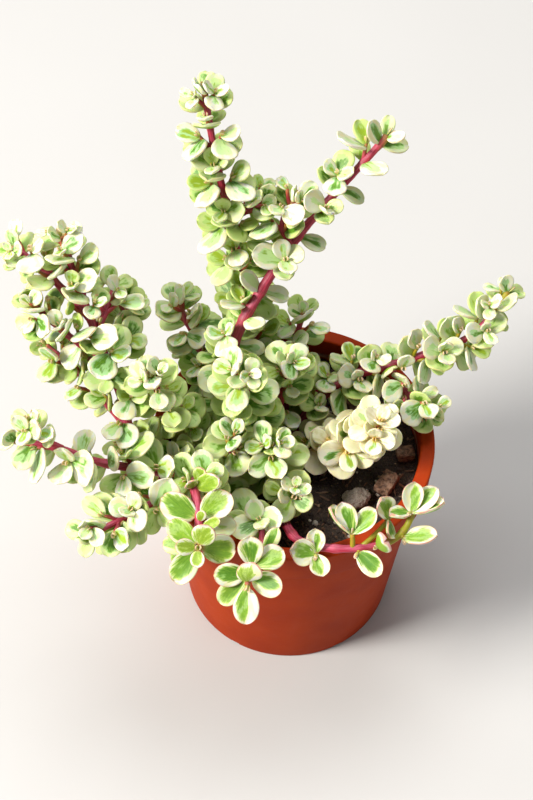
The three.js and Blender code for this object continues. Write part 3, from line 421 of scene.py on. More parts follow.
class Stem:
    """The stem of a shoot, which also has the shoot's values in SHOOTS as attributes."""

    def __init__(self, name, index, spec, parent):
        vars(self).update(SHOOT_DEFAULTS, **spec)
        self.name, self.index = name, index
        self.path = catmull_rom(np.array(self.points, float), STEPS_PER_SPAN)
        steps = np.linalg.norm(np.diff(self.path, axis=0), axis=1)
        self.distances = np.concatenate([[0], np.cumsum(steps)])
        self.length = self.distances[-1]
        padded = np.concatenate([self.path[:1], self.path, self.path[-1:]])
        self.tangents = unit(padded[2:] - padded[:-2])
        self.sides = [unit(np.cross(self.tangents[0], (0.3, 1, 0.2)))]
        for tangent in self.tangents[1:]:
            self.sides.append(flattened(self.sides[-1], tangent))
        self.start = 0.0
        while parent and min(map(parent.surface_distance, self.ring_at(self.start))) < CLEARANCE:
            self.start += SEAT_STEP
        self.nodes = self.place_nodes()

    def radius_at(self, distance):
        share = np.clip(distance / self.length, 0, 1)
        return between(*self.radius, share**STEM_TAPER)

    def at(self, distance):
        """Point, direction and two side vectors at a distance from the buried end."""
        i = int(np.searchsorted(self.distances[1:-1], distance, side="right"))
        share = (distance - self.distances[i]) / (self.distances[i + 1] - self.distances[i])
        share = min(max(share, 0), 1)
        curves = (self.path, self.tangents, self.sides)
        point, along, side = (between(curve[i], curve[i + 1], share) for curve in curves)
        along = unit(along)
        side = flattened(side, along)
        return point, along, side, np.cross(along, side)

    def ring_at(self, distance):
        """Corners of the construction model's stem."""
        point, _, side, cross = self.at(distance)
        angles = 2 * math.pi * np.arange(STEM_SIDES) / STEM_SIDES
        return point + self.radius_at(distance) * (
            np.cos(angles)[:, None] * side + np.sin(angles)[:, None] * cross
        )

    def surface_distance(self, point):
        """How far a point is from the stem's skin."""
        start, span = self.path[:-1], np.diff(self.path, axis=0)
        share = np.sum((point - start) * span, axis=1) / np.sum(span * span, axis=1)
        nearest = start + span * np.clip(share, 0, 1)[:, None]
        gaps = np.linalg.norm(nearest - point, axis=1) - self.radius_at(self.distances[:-1])
        return gaps.min()

    def place_nodes(self):
        """Distances of the leaf pairs, closer together near the tip."""
        nodes = []
        distance = self.start + self.bare
        while distance < self.length - TIP_PAIR_SPACE:
            nodes.append(distance)
            to_tip = min((self.length - distance) / CROWDING_REACH, 1)
            spread = 0.9 + 0.2 * scatter(self.index, len(nodes) - 1, 3)
            distance += self.gap * (0.5 + 0.5 * to_tip) * spread
        return [*nodes, self.length - TIP_PAIR_DEPTH]

    def outward(self, i, side):
        """Direction away from the stem on one side of a node."""
        _, _, across, cross = self.at(self.nodes[i])
        wobble = PAIR_WOBBLE * (scatter(self.index, i, 11) - 0.5)
        angle = math.radians(self.roll + 90 * (i % 2) + 180 * side + wobble)
        return rotated(across, cross, angle)[0]


def grow_stems():
    """All stems; a side shoot comes after the shoot that carries it."""
    stems = {}
    for name, spec in SHOOTS.items():
        stems[name] = Stem(name, len(stems), spec, stems.get(spec.get("parent")))
    return list(stems.values())


TWIG_LENGTH = (3.4, 5)           # least and most, from the stem's skin to the feet of the rosette
TWIG_FOOT_HEIGHT = 1.8           # of the twig over the leaf pair in whose axil it grows
BUD_HEIGHT = 1.9                 # of a rosette's bud over the feet of its leaves
ROSETTE_TWIST = 50               # degrees that a rosette strays from its place square to the stem
YOUNG_ROSETTE = 0.7              # size of the rosettes at the last two nodes that have one
OUTWARD, STEMWARD, LIGHTWARD = 0.6, 0.45, 0.9    # what a twig's direction is made of


class Twig:
    """A short twig in a leaf axil, with the place, size and directions of the rosette that it carries."""

    def __init__(self, stem, node, side):
        self.stem, self.node, self.side = stem, node, side
        point, stemward, _, _ = stem.at(stem.nodes[node])
        out = stem.outward(node, side)
        radius = stem.radius_at(stem.nodes[node])
        self.axis = unit(out * OUTWARD + stemward * STEMWARD + LIGHT * LIGHTWARD)
        reach = between(*TWIG_LENGTH, scatter(stem.index, node, side + 61))
        self.foot = point + out * radius + stemward * TWIG_FOOT_HEIGHT + self.axis * reach
        self.heart = self.foot + self.axis * BUD_HEIGHT
        across = np.cross(self.axis, out)
        if np.linalg.norm(across) < 0.2:
            across = np.cross(self.axis, stemward)
        across = unit(across)
        third = np.cross(across, self.axis)
        twist = math.radians(ROSETTE_TWIST * (scatter(stem.index, node, side + 71) - 0.5))
        self.across, self.third = rotated(across, third, twist)
        young = YOUNG_ROSETTE if len(stem.nodes) - 1 - node < 2 else 1
        self.size = stem.rosette * young * (0.8 + 0.4 * scatter(stem.index, node, side + 73))
        self.path, share = bowed(point + out * 0.3 * radius, self.heart, 0.5 * out)
        self.radii = 1.05 - 0.4 * share


class Sprig:
    """A twig that is placed as given."""

    def __init__(self, stem, from_tip, end):
        self.stem, self.heart = stem, end
        root, along, _, _ = stem.at(stem.length - from_tip)
        self.path, share = bowed(root, end, SPRIG_BOW * np.linalg.norm(end - root) * along)
        self.radii = stem.radius_at(stem.length - from_tip) * (0.85 - 0.15 * share)
        self.axis = unit(self.path[-1] - self.path[-2])
        self.across = flattened(np.array((0.2, 0.3, 1)), self.axis)


def bowed(start, end, bow):
    """Points of a slightly bent line, and their shares of its length."""
    share = np.linspace(0, 1, TWIG_RINGS)[:, None]
    middle = (start + end) / 2 + bow
    return start * (1 - share)**2 + 2 * middle * share * (1 - share) + end * share**2, share.ravel()


# ------------------------------------------------------------------ where the leaves grow

# where a leaf's ellipse is tested: in the middle, halfway out and near the edge
ring_of_six = np.arange(6) * math.pi / 3
ring_of_twelve = np.arange(12) * math.pi / 6
SAMPLE_U = np.concatenate([[0], 0.5 * np.cos(ring_of_six), 0.97 * np.cos(ring_of_twelve)])
SAMPLE_V = np.concatenate([[0], 0.5 * np.sin(ring_of_six), 0.97 * np.sin(ring_of_twelve)])
SAMPLE_BULK = np.repeat([1, 0.85, 0.45], [1, 6, 12])     # thickness there, as a share

# turn in its plane, pitch (in degrees) and scale that are tried in this order until a leaf has room
TRIES = (
    (0, 0, 1), (14, 0, 1), (-14, 0, 1), (0, 14, 0.95), (0, -14, 0.95), (24, 8, 0.9), (-24, 8, 0.9),
    (0, 0, 0.78), (18, 14, 0.75), (-18, -14, 0.75),
)
# size and extra lift, in degrees, of the leaves of the last pair, the one before it and so on
SIZE_TOWARDS_TIP = (0.7, 0.94, 1, 1)
LIFT_TOWARDS_TIP = (30, 14, 5, 0)
LOWEST_PAIR = 0.85               # size of the lowest pair of a long shoot

# ranks: leaf pairs, outer and inner pairs of rosettes, buds, and placed leaves of a shoot or a sprig
PAIR, ROSETTE, INNER, BUD, PLACED, SPRIG = range(6)

# height of a rosette's pair over the foot, length as a share of the rosette's, lift in degrees
ROSETTE_PAIRS = {ROSETTE: (0, 1, 12), INNER: (1.4, 0.72, 30)}

# length of the buds: share of a rosette's leaf, millimetres on a sprig, share of a shoot's leaf
ROSETTE_BUD, SPRIG_BUD, SHOOT_BUD = 0.24, 3, 0.28
BUD_BREADTH = 0.62


class Leaf:
    """Where a leaf is, and the thin ellipse that stands for it in the tests for room."""

    def __init__(self, stem, group, foot, along, face, length, width, rank, seed):
        self.stem, self.group, self.foot, self.rank, self.seed = stem, group, foot, rank, seed
        self.length, self.width = length, width
        self.along = unit(along)
        self.face = flattened(face, self.along)
        self.across = np.cross(self.face, self.along)
        self.middle = foot + LEAF_MIDDLE * length * self.along
        self.half_length = (1 - LEAF_MIDDLE) * length
        self.half_width = 0.5 * width
        self.bulk = min(1, length / FULL_SIZE_LEAF)
        self.samples = (
            self.middle
            + np.outer(SAMPLE_U * self.half_length, self.along)
            + np.outer(SAMPLE_V * self.half_width, self.across)
        )
        self.sample_bulk = SAMPLE_BULK * LEAF_HALF_THICKNESS * self.bulk

    def locate(self, points, gap):
        """Distance from the leaf's plane, and how far out in its outline (1 at the edge)."""
        offset = points - self.middle
        u = offset @ self.along / (self.half_length + gap)
        v = offset @ self.across / (self.half_width + gap)
        return np.abs(offset @ self.face), u * u + v * v

    def holds(self, other, gap):
        """Whether a sample of the other leaf comes nearer than the gap."""
        height, out = self.locate(other.samples, gap)
        own = LEAF_HALF_THICKNESS * self.bulk * (1 - EDGE_THINNING * out)
        return bool(np.any((out < 1) & (height < other.sample_bulk + own + gap)))

    def meets(self, other, gap):
        apart = np.linalg.norm(self.middle - other.middle)
        if apart > LEAF_REACH * (self.length + other.length) + gap:
            return False
        return self.holds(other, gap) or other.holds(self, gap)


class Crown:
    """The leaves in the order of their growth: placed front leaves, pairs, rosettes, inner pairs, buds."""

    def __init__(self, stems):
        self.stems = stems
        self.leaves, self.middles, self.lengths = [], [], []
        self.owners, self.points, self.radii = [], [], []
        self.twigs, self.sprigs = [], []
        self.add_obstacles()
        self.place_front_leaves()
        self.place_sprigs()
        self.grow(self.grow_pair_leaf)
        self.grow(self.grow_twig)
        for rank in (ROSETTE, INNER):
            for twig in self.twigs:
                self.grow_rosette(twig, rank)
        self.add_buds()
        self.find_shade()

    def add_obstacles(self):
        for stem in self.stems:
            count = int(stem.length / OBSTACLE_STEP)
            for i in range(count + 1):
                distance = stem.length * i / count
                self.add_obstacle(stem.index, stem.at(distance)[0], stem.radius_at(distance))
        for (x, y), (length, width, height), _ in CHUNKS.values():
            self.add_obstacle(-1, np.array((x, y, SOIL_HEIGHT + height / 2)), (length + width) / 4)

    def add_obstacle(self, owner, point, radius):
        self.owners.append(owner)
        self.points.append(point)
        self.radii.append(radius)

    def add_twig_obstacles(self, twig):
        for point, radius in zip(twig.path[2:], twig.radii[2:]):
            self.add_obstacle(twig.stem.index, point, radius)

    def add_leaf(self, leaf):
        self.leaves.append(leaf)
        self.middles.append(leaf.middle)
        self.lengths.append(leaf.length)

    def place_front_leaves(self):
        by_name = {stem.name: stem for stem in self.stems}
        for name, (shoot, from_tip, tip, width, *facing) in FRONT_LEAVES.items():
            stem = by_name[shoot]
            distance = stem.length - from_tip
            root = stem.at(distance)[0]
            along = np.array(tip, float) - root
            foot_gap = stem.radius_at(distance) + CLEARANCE
            length = np.linalg.norm(along) - foot_gap
            foot = root + unit(along) * foot_gap
            face = np.array(facing[0] if facing else FRONT_FACING)
            seed = scatter(len(self.leaves), 5)
            self.add_leaf(Leaf(stem, name, foot, along, face, length, width, PLACED, seed))

    def place_sprigs(self):
        stem = next(stem for stem in self.stems if stem.name == "shoot_front_right")
        for from_tip, end, leaves in SPRIGS:
            sprig = Sprig(stem, from_tip, np.array(end))
            self.sprigs.append(sprig)
            for tip, width, face in leaves:
                foot = sprig.heart
                along = np.array(tip) - foot
                length = np.linalg.norm(along)
                seed = scatter(len(self.leaves), 5)
                face = np.array(face)
                self.add_leaf(Leaf(stem, from_tip, foot, along, face, length, width, SPRIG, seed))
            self.add_twig_obstacles(sprig)

    def grow(self, grow_one):
        """Grows something on both sides of every node that has leaves."""
        for stem in self.stems:
            for i, distance in enumerate(stem.nodes):
                if distance <= stem.leafy_length:
                    for side in (0, 1):
                        grow_one(stem, i, side)

    def grow_pair_leaf(self, stem, i, side):
        def vary(low, high, salt):
            return between(low, high, scatter(stem.index, i, salt))

        point, stemward, _, _ = stem.at(stem.nodes[i])
        out = stem.outward(i, side)
        from_tip = min(len(stem.nodes) - 1 - i, len(SIZE_TOWARDS_TIP) - 1)
        lowest = LOWEST_PAIR if i == 0 and len(stem.nodes) > 5 else 1
        full_size = stem.leaf * SIZE_TOWARDS_TIP[from_tip] * lowest
        length = full_size * vary(0.86, 1.08, 7) * vary(0.94, 1.06, side + 17)
        lift = math.radians(stem.lift * vary(0.6, 1.1, side + 13) + LIFT_TOWARDS_TIP[from_tip])
        along, face = rotated(out, stemward, lift)
        face = face * FACE_TO_STEM_TIP + FACE_TO_LIGHT * (LIGHT - along * (LIGHT @ along))
        foot = point + out * LEAF_FOOT_DEPTH * stem.radius_at(stem.nodes[i])
        width = length * vary(*stem.breadth, side + 19)
        seed = vary(0, 1, side + 23)
        self.try_leaf(stem, (stem.index, i), foot, along, face, length, width, PAIR, seed)

    def grow_twig(self, stem, i, side):
        """A twig in some leaf axils, which will carry a rosette of two or four small leaves."""
        if i == len(stem.nodes) - 1 or scatter(stem.index, i, side + 29) >= stem.rosettes:
            return
        twig = Twig(stem, i, side)
        for leaf in self.leaves:
            if leaf.stem is not stem:
                height, out = leaf.locate(twig.path, twig.radii + LEAF_GAP)
                if np.any((out < 1) & (height < twig.radii + LEAF_HALF_THICKNESS + LEAF_GAP)):
                    return
        self.twigs.append(twig)
        self.add_twig_obstacles(twig)

    def grow_rosette(self, twig, rank):
        """Two opposite leaves; the inner pair stands steeper and square to the outer one."""
        height, size, steepness = ROSETTE_PAIRS[rank]
        direction = twig.across if rank == ROSETTE else twig.third
        foot = twig.foot + twig.axis * height
        group = (twig.stem.index, twig.node, twig.side)
        for j, sign in enumerate((1, -1)):
            def vary(low, high, salt, j=j):
                return between(low, high, scatter(twig.stem.index, twig.node, twig.side * 2 + j + salt))

            lift = math.radians(steepness) + vary(0, 0.25, 83)
            along, face = rotated(direction * sign, twig.axis, lift)
            length = twig.size * size * vary(0.9, 1.1, 31 + rank)
            width = length * vary(0.82, 0.95, 37 + rank)
            seed = vary(0, 1, 41 + rank)
            self.try_leaf(twig.stem, group, foot, along, face, length, width, rank, seed)

    def add_buds(self):
        for twig in self.twigs:
            self.add_bud(twig.stem, twig.heart, twig.axis, twig.across, ROSETTE_BUD * twig.size)
        for sprig in self.sprigs:
            self.add_bud(sprig.stem, sprig.heart, sprig.axis, sprig.across, SPRIG_BUD)
        for stem in self.stems:
            tip, along, side, _ = stem.at(stem.length)
            self.add_bud(stem, tip - 0.3 * along, along, side, SHOOT_BUD * stem.leaf)

    def add_bud(self, stem, end, axis, across, length):
        """Two leaves that haven't opened yet, pressed together at the end of a twig or stem."""
        for sign in (1, -1):
            foot = end + across * sign * 0.25
            along = axis + across * sign * 0.28
            width = BUD_BREADTH * length
            seed = scatter(len(self.leaves), 9)
            self.leaves.append(Leaf(stem, "bud", foot, along, across * -sign, length, width, BUD, seed))

    def find_shade(self):
        """How much of the light the other leaves keep from each leaf, 0..1."""
        middles = np.array([leaf.middle for leaf in self.leaves])
        areas = np.array([leaf.length * leaf.width for leaf in self.leaves])
        for leaf in self.leaves:
            offset = middles - leaf.middle
            height = offset @ LIGHT
            aside = np.linalg.norm(offset - np.outer(height, LIGHT), axis=1)
            over = (height > SHADE_START) & (aside < SHADE_REACH)
            covered = np.sum(areas[over] / (SHADE_AREA + SHADE_SPREAD * height[over]))
            leaf.shade = min(1, covered / FULL_SHADE)

    def try_leaf(self, stem, group, foot, along, face, length, width, rank, seed):
        """Grows the leaf in the first of the tried positions that has room."""
        along = unit(along)
        face = flattened(face, along)
        across = np.cross(face, along)
        for turn, pitch, scale in TRIES:
            swung, _ = rotated(along, across, math.radians(turn))
            pitched, normal = rotated(swung, face, math.radians(pitch))
            leaf = Leaf(stem, group, foot, pitched, normal, length * scale, width * scale, rank, seed)
            if self.has_room(leaf):
                self.add_leaf(leaf)
                return

    def has_room(self, leaf):
        if not clear_of_pot(leaf.samples) or self.stem_blocks(leaf):
            return False
        apart = np.linalg.norm(np.array(self.middles) - leaf.middle, axis=1)
        near = np.flatnonzero(apart < LEAF_REACH * (np.array(self.lengths) + leaf.length) + LEAF_GAP)
        return not any(leaf.meets(self.leaves[i], gap_between(leaf, self.leaves[i])) for i in near)

    def stem_blocks(self, leaf):
        """Stems and chunks are balls here; the ones of a leaf's own stem near its foot don't count."""
        points, radii = np.array(self.points), np.array(self.radii)
        height, out = leaf.locate(points, radii + LEAF_TO_STEM_GAP)
        reach = FOOT_REACH * leaf.length + radii + (0 if leaf.rank == PAIR else ROSETTE_FOOT_REACH)
        near_foot = np.linalg.norm(points - leaf.foot, axis=1) < reach
        own = (np.array(self.owners) == leaf.stem.index) & near_foot
        return bool(np.any(~own & (out < 1) & (height < LEAF_BESIDE_STEM + radii + LEAF_TO_STEM_GAP)))


def gap_between(leaf, other):
    if other.group == leaf.group:
        return PAIR_LEAF_GAP
    if other.stem is leaf.stem and other.rank not in (PLACED, SPRIG):
        return SHOOT_LEAF_GAP
    return LEAF_GAP if leaf.rank == PAIR else ROSETTE_LEAF_GAP


def clear_of_pot(points):
    radius = np.hypot(points[:, 0], points[:, 1])
    inner_rim = RIM_RADIUS - RIM_WIDTH - LEAF_TO_POT_GAP
    lowest = LEAF_TO_POT_GAP + np.where(radius > inner_rim, POT_HEIGHT, SOIL_HEIGHT)
    return bool(np.all((radius > RIM_RADIUS + LEAF_TO_POT_GAP) | (points[:, 2] > lowest)))


# ------------------------------------------------------------------ meshes

NO_QUADS = np.zeros((0, 4), int)


def add_object(name, data):
    """A new object of the scene that shows the data."""
    made = bpy.data.objects.new(name, data)
    bpy.context.scene.collection.objects.link(made)
    return made


class Skin:
    """Vertices, faces and per-vertex values of one mesh under construction, in millimetres."""

    def __init__(self):
        self.count = 0
        self.points, self.quads, self.triangles = [], [], []
        self.quad_maps, self.triangle_maps = [], []
        self.values = {}

    def add(self, points, quads, triangles, maps=(), **values):
        self.points.append(points)
        self.quads.append(quads + self.count)
        self.triangles.append(triangles + self.count)
        for kept, new in zip((self.quad_maps, self.triangle_maps), maps):
            kept.append(new)
        for name, value in values.items():
            self.values.setdefault(name, []).append(np.broadcast_to(value, (len(points), 3)))
        self.count += len(points)

    def mesh(self, name):
        mesh = bpy.data.meshes.new(name)
        faces = np.concatenate(self.quads).tolist() + np.concatenate(self.triangles).tolist()
        mesh.from_pydata(np.concatenate(self.points) * MM, [], faces)
        return mesh

    def build(self, name, material, slot, *replaced, smooth=True):
        """The finished piece, riding on the root."""
        mesh = self.mesh(name)
        for key, values in self.values.items():
            attribute = mesh.attributes.new(key, "FLOAT_VECTOR", "POINT")
            attribute.data.foreach_set("vector", np.concatenate(values).astype(np.float32).ravel())
        if self.quad_maps:
            corners = [uv.reshape(-1, 2) for uv in self.quad_maps + self.triangle_maps]
            layer = mesh.uv_layers.new(name="OFBake")
            layer.data.foreach_set("uv", np.concatenate(corners).astype(np.float32).ravel())
        mesh.polygons.foreach_set("use_smooth", np.full(len(mesh.polygons), smooth))
        mesh.materials.append(material)
        mesh.update()
        piece = add_object(name, mesh)
        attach(piece, "root")
        if replaced:
            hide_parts(*replaced)
        return piece


def skin_faces(rings, sides):
    """Faces between rings of vertices, which run counterclockwise about the way from ring to ring. Two
    more vertices, after those of the rings, close the first and the last ring."""
    i, j = np.meshgrid(np.arange(rings - 1), np.arange(sides), indexing="ij")
    a, b = i * sides + j, i * sides + (j + 1) % sides
    quads = np.stack([a, b, b + sides, a + sides], axis=-1).reshape(-1, 4)
    near, far = np.arange(sides), (np.arange(sides) + 1) % sides
    end = (rings - 1) * sides
    first = np.stack([np.full(sides, rings * sides), far, near], axis=-1)
    last = np.stack([np.full(sides, rings * sides + 1), end + near, end + far], axis=-1)
    return quads, np.concatenate([first, last])


def smooth_step(x):
    """0 below 0 and 1 above 1, smooth between them."""
    x = np.clip(x, 0, 1)
    return x * x * (3 - 2 * x)


def signed_power(x, exponent):
    return np.sign(x) * np.abs(x)**exponent


# ------------------------------------------------------------------ leaf shapes

# rings along a leaf and sides of each ring
LEAF_DETAIL = {
    PLACED: (24, 28), SPRIG: (24, 28), PAIR: (14, 20), ROSETTE: (12, 18), INNER: (10, 16), BUD: (7, 10),
}
LEAF_THICKNESS = 1.05            # half of it, of a full-size leaf
PETIOLE_HALF_WIDTH = 0.55
MAP_BORDER = 0.04                # free edge of a leaf's square in the texture
MAP_SIZE = 0.42                  # share of the square that a leaf's length takes up, and half its width


class Blade:
    """The shape of one leaf; each leaf gets its own from its seed."""

    def __init__(self, leaf):
        vary = np.random.default_rng(int(leaf.seed * 1e9)).uniform
        placed = leaf.rank in (PLACED, SPRIG)
        self.leaf = leaf
        self.wedge = vary(*leaf.stem.wedge)      # exponent of the width from the foot: more is narrower
        self.blunt = vary(0.45, 0.52)            # and that of the width from the tip
        self.cup = vary(*leaf.stem.cup)          # how far both edges rise, in half widths
        self.fold = vary(0, 0.08)                # how far the halves rise from the midrib, in half widths
        self.dish = vary(0, 0.4)                 # hollow along the middle of the upper face
        self.bend = vary(-0.08, 0.07)            # how far the tip rises, in lengths
        self.lean = vary(-0.05, 0.05)            # and how far it goes sideways
        self.turn = vary(-0.2, 0.2)              # twist from the foot to the tip, in radians
        self.wave = vary(0, 0.035)               # height of the waves of the edges, in widths
        self.phase = vary(0, 6.3)                # where they start
        self.thickness = LEAF_THICKNESS * min(1, leaf.bulk * 1.1) * vary(0.92, 1.15)
        # width of the cream margin in half widths, and how much of one side is cream too
        self.margin = vary(*(leaf.stem.placed_margin if placed else leaf.stem.margin))
        self.lopsided = 0.5 * vary(-1, 1) + 0.5 * vary(-1, 1)**3
        self.widened = 1                         # width against that of the leaf in the tests for room
        self.youth = 0                           # 1 is fresh green
        if leaf.rank in (INNER, BUD):
            self.bend += 0.12
            self.cup += 0.08
        vars(self).update(BLADE_SHAPES.get(leaf.group, {}))
        self.width = leaf.width * self.widened

    def half_width(self, x):
        """Half the width at a share of the length: a wedge from the petiole, widest past the middle."""
        widest = self.wedge / (self.wedge + self.blunt)
        top = widest**self.wedge * (1 - widest)**self.blunt
        blade = x**self.wedge * np.clip(1 - x, 0, 1)**self.blunt / top * 0.5 * self.width
        return np.hypot(blade, PETIOLE_HALF_WIDTH * self.leaf.bulk * (1 - x))

    def cushion(self, stations, sides):
        """The flat leaf: share of the length, share of the half width, half width and height."""
        x = (1 - np.cos(np.pi * np.arange(stations) / stations)) / 2
        angle = 2 * np.pi * np.arange(sides) / sides
        s, rise = signed_power(np.cos(angle), 0.8), signed_power(np.sin(angle), 0.75)
        x, s, rise = np.broadcast_arrays(x[:, None], s, rise)
        thick = self.thickness * (0.45 + 0.55 * smooth_step(x / 0.4)) * np.sqrt(1 - x**6)
        hollow = self.dish * (1 - s * s) * smooth_step(x / 0.3)
        height = thick * rise * np.where(rise > 0, 0.95 - hollow, 1.05)
        ends = ((x, (0, 1)), (s, (0, 0)), (self.half_width(x), (0, 0)), (height, (0, 0)))
        return [np.append(values, of_ends) for values, of_ends in ends]

    def raised(self, x, s, height):
        """The heights on the cupped, folded, bent and wavy leaf."""
        spread = 0.5 * self.leaf.width * smooth_step(x / 0.35)
        height = height + spread * self.cup * (s * s - 0.35)
        height += spread * self.fold * (np.abs(s) - 0.5)
        height += self.leaf.length * self.bend * x * x
        height += self.leaf.width * self.wave * s**3 * np.sin(9 * x + self.phase)
        return height

    def surface(self, stations, sides):
        """Rings from foot to tip, with each vertex's share of the length and of the half width."""
        leaf = self.leaf
        x, s, half, height = self.cushion(stations, sides)
        height = self.raised(x, s, height)
        lateral = s * half * (1 - 0.3 * self.cup) + self.lean * leaf.length * x * x
        turn = self.turn * (x - 0.3)
        cos, sin = np.cos(turn), np.sin(turn)
        lateral, height = lateral * cos - height * sin, lateral * sin + height * cos
        points = leaf.foot + np.outer(x * leaf.length, leaf.along)
        points = points + np.outer(lateral, leaf.across) + np.outer(height, leaf.face)
        return points, x, s

    def edge_distance(self, x, s):
        """Distance to the outline, in half widths."""
        t = (1 - np.cos(np.linspace(0.08, 1, 48) * np.pi)) / 2
        half = self.half_width(t)
        outline = np.stack([np.tile(t * self.leaf.length, 2), np.concatenate([half, -half])], axis=-1)
        flat = np.stack([x * self.leaf.length, s * self.half_width(x)], axis=-1)
        gaps = np.linalg.norm(flat[:, None] - outline, axis=-1).min(axis=1)
        return np.where(np.abs(s) > 0.999, 0, gaps / (0.5 * self.leaf.width))


def leaf_map(x, s, quads, triangles, sides, cell, cells):
    """Texture places: each leaf has a square, the left half for its upper face."""
    column, row = cell % cells, cell // cells

    def place(corners):
        under = (np.arange(len(corners)) % sides >= sides // 2)[:, None]
        u = column + MAP_BORDER + MAP_SIZE * x[corners] + 0.5 * under
        v = row + 2 * MAP_BORDER + MAP_SIZE * (1 + s[corners])
        return np.stack([u, v], axis=-1) / cells

    return place(quads), place(triangles)


def add_blade(skin, leaf, cell, cells):
    rings, sides = LEAF_DETAIL[leaf.rank]
    blade = Blade(leaf)
    points, x, s = blade.surface(rings, sides)
    quads, triangles = skin_faces(rings, sides)
    ring_under = np.sin(2 * np.pi * np.arange(sides) / sides) < -1e-6
    under = np.append(np.tile(ring_under, rings), (0, 0)).astype(float)
    lateral = s * blade.half_width(x) / leaf.length
    skin.add(
        points, quads, triangles,
        maps=leaf_map(x, s, quads, triangles, sides, cell, cells),
        leaf_place=np.stack([x, lateral, blade.edge_distance(x, s)], axis=-1),
        leaf_kind=np.stack([np.full(len(x), leaf.seed), under, np.full(len(x), blade.margin)], axis=-1),
        leaf_age=np.array((leaf.rank == BUD, leaf.rank == INNER, leaf.rank in (PLACED, SPRIG)), float),
        leaf_tone=np.array((leaf.shade, blade.lopsided, blade.youth), float),
    )


def build_leaves(name, leaves, material, slot, *replaced):
    """Several leaves in one piece, with their squares side by side in the texture."""
    skin = Skin()
    cells = math.ceil(math.sqrt(len(leaves)))
    for cell, leaf in enumerate(leaves):
        add_blade(skin, leaf, cell, cells)
    return skin.build(name, material, slot, *replaced)


# ------------------------------------------------------------------ stem shapes

STEM_RING_STEP = 1.2
STEM_RING_SIDES = 14
TWIG_SIDES = 8
NODE_SWELLING = 0.2
NODE_REACH = 1.6                 # how far the swelling reaches along the stem
DOME_LENGTH = 1                  # the stem's tip is round from here on, with these last rings
DOME_RINGS = np.array((0.6, 0.25, 0))


def add_tube(skin, centres, sides_a, sides_b, radii, ring_sides, tip_distances, nodes_near, green_tip):
    """Rings about a line of centres. What is known of a ring goes to each vertex for the material."""
    angle = 2 * np.pi * np.arange(ring_sides) / ring_sides
    ring = np.cos(angle)[:, None] * sides_a[:, None] + np.sin(angle)[:, None] * sides_b[:, None]
    points = (centres[:, None] + ring * radii[:, None, None]).reshape(-1, 3)
    points = np.concatenate([points, centres[:1], centres[-1:]])
    upward = np.append(ring[..., 2].ravel(), (0, 1))
    tip = np.append(np.repeat(tip_distances, ring_sides), tip_distances[[0, -1]])
    near = np.append(np.repeat(nodes_near, ring_sides), nodes_near[[0, -1]])
    turn = np.append(np.tile(angle, len(centres)), (0, 0))
    skin.add(
        points, *skin_faces(len(centres), ring_sides),
        stem_place=np.stack([tip, near, upward], axis=-1),
        stem_turn=np.stack([np.cos(turn), np.sin(turn), np.full(len(tip), green_tip)], axis=-1),
    )


def add_stem(skin, stem):
    count = int(stem.length / STEM_RING_STEP)
    below_dome = np.linspace(0, stem.length - DOME_LENGTH, count)
    distances = np.append(below_dome, stem.length - DOME_RINGS)
    frames = [stem.at(distance) for distance in distances]
    centres, _, sides_a, sides_b = (np.array(v) for v in zip(*frames))
    gaps = np.abs(distances[:, None] - np.array(stem.nodes)).min(axis=1)
    near = np.exp(-(gaps / NODE_REACH)**2)
    rough = np.array([scatter(stem.index, i, 91) for i in range(len(distances))]) - 0.5
    dome = np.sqrt(np.clip(1 - ((distances - stem.length + DOME_LENGTH) / 1.02).clip(0)**2, 0, 1))
    radii = stem.plump * stem.radius_at(distances) * (0.93 + NODE_SWELLING * near + 0.05 * rough) * dome
    add_tube(
        skin, centres, sides_a, sides_b, radii, STEM_RING_SIDES, stem.length - distances, near,
        stem.green_tip
    )


def add_twig(skin, twig):
    tangent = unit(np.gradient(twig.path, axis=0))
    across = flattened(np.broadcast_to(twig.across, tangent.shape), tangent)
    tip_distance = np.linspace(8, 3, TWIG_RINGS)
    near = np.linspace(0.8, 0.3, TWIG_RINGS)
    add_tube(
        skin, twig.path, across, np.cross(tangent, across), twig.radii, TWIG_SIDES, tip_distance, near,
        twig.stem.green_tip
    )


def build_stem(stem, twigs, material, slot):
    """A stem with its twigs, which takes the place of the whole shoot."""
    skin = Skin()
    add_stem(skin, stem)
    for twig in twigs:
        add_twig(skin, twig)
    return skin.build(f"{stem.name}_stem", material, slot, stem.name)


# ------------------------------------------------------------------ pot

POT_SEGMENTS = 144
FLOOR_TOP = CHANNEL_HEIGHT + FLOOR_THICKNESS
SKIRT_FOOT = POT_HEIGHT - COLLAR_HEIGHT
MOULD_SLOPE = 0.5                # pad and foot ring are this much wider where they meet the channel
SKIRT_SLOPE = 1                  # and the skirt is narrower at its foot
SHARPEST_ROUND = math.radians(38)        # edges sharper than this look sharp
SHORTEST_EDGE = 0.002                    # that is kept where the holes are cut


def body_radius(z):
    """Outer radius of the pot's body."""
    return FOOT_RADIUS + (BODY_TOP_RADIUS - FOOT_RADIUS) * min(z / SKIRT_FOOT, 1)


def rounded(profile):
    """A profile of radius, height and rounding, with each rounded corner turned into a short curve."""
    corners = [np.array(corner[:2], float) for corner in profile]
    points = []
    for i, (corner, (_, _, rounding)) in enumerate(zip(corners, profile)):
        if not rounding:
            points.append(corner)
            continue
        before = corner + unit(corners[i - 1] - corner) * rounding
        after = corner + unit(corners[i + 1] - corner) * rounding
        for t in np.linspace(0, 1, 5):
            points.append(before * (1 - t)**2 + 2 * corner * t * (1 - t) + after * t**2)
    return np.array(points)


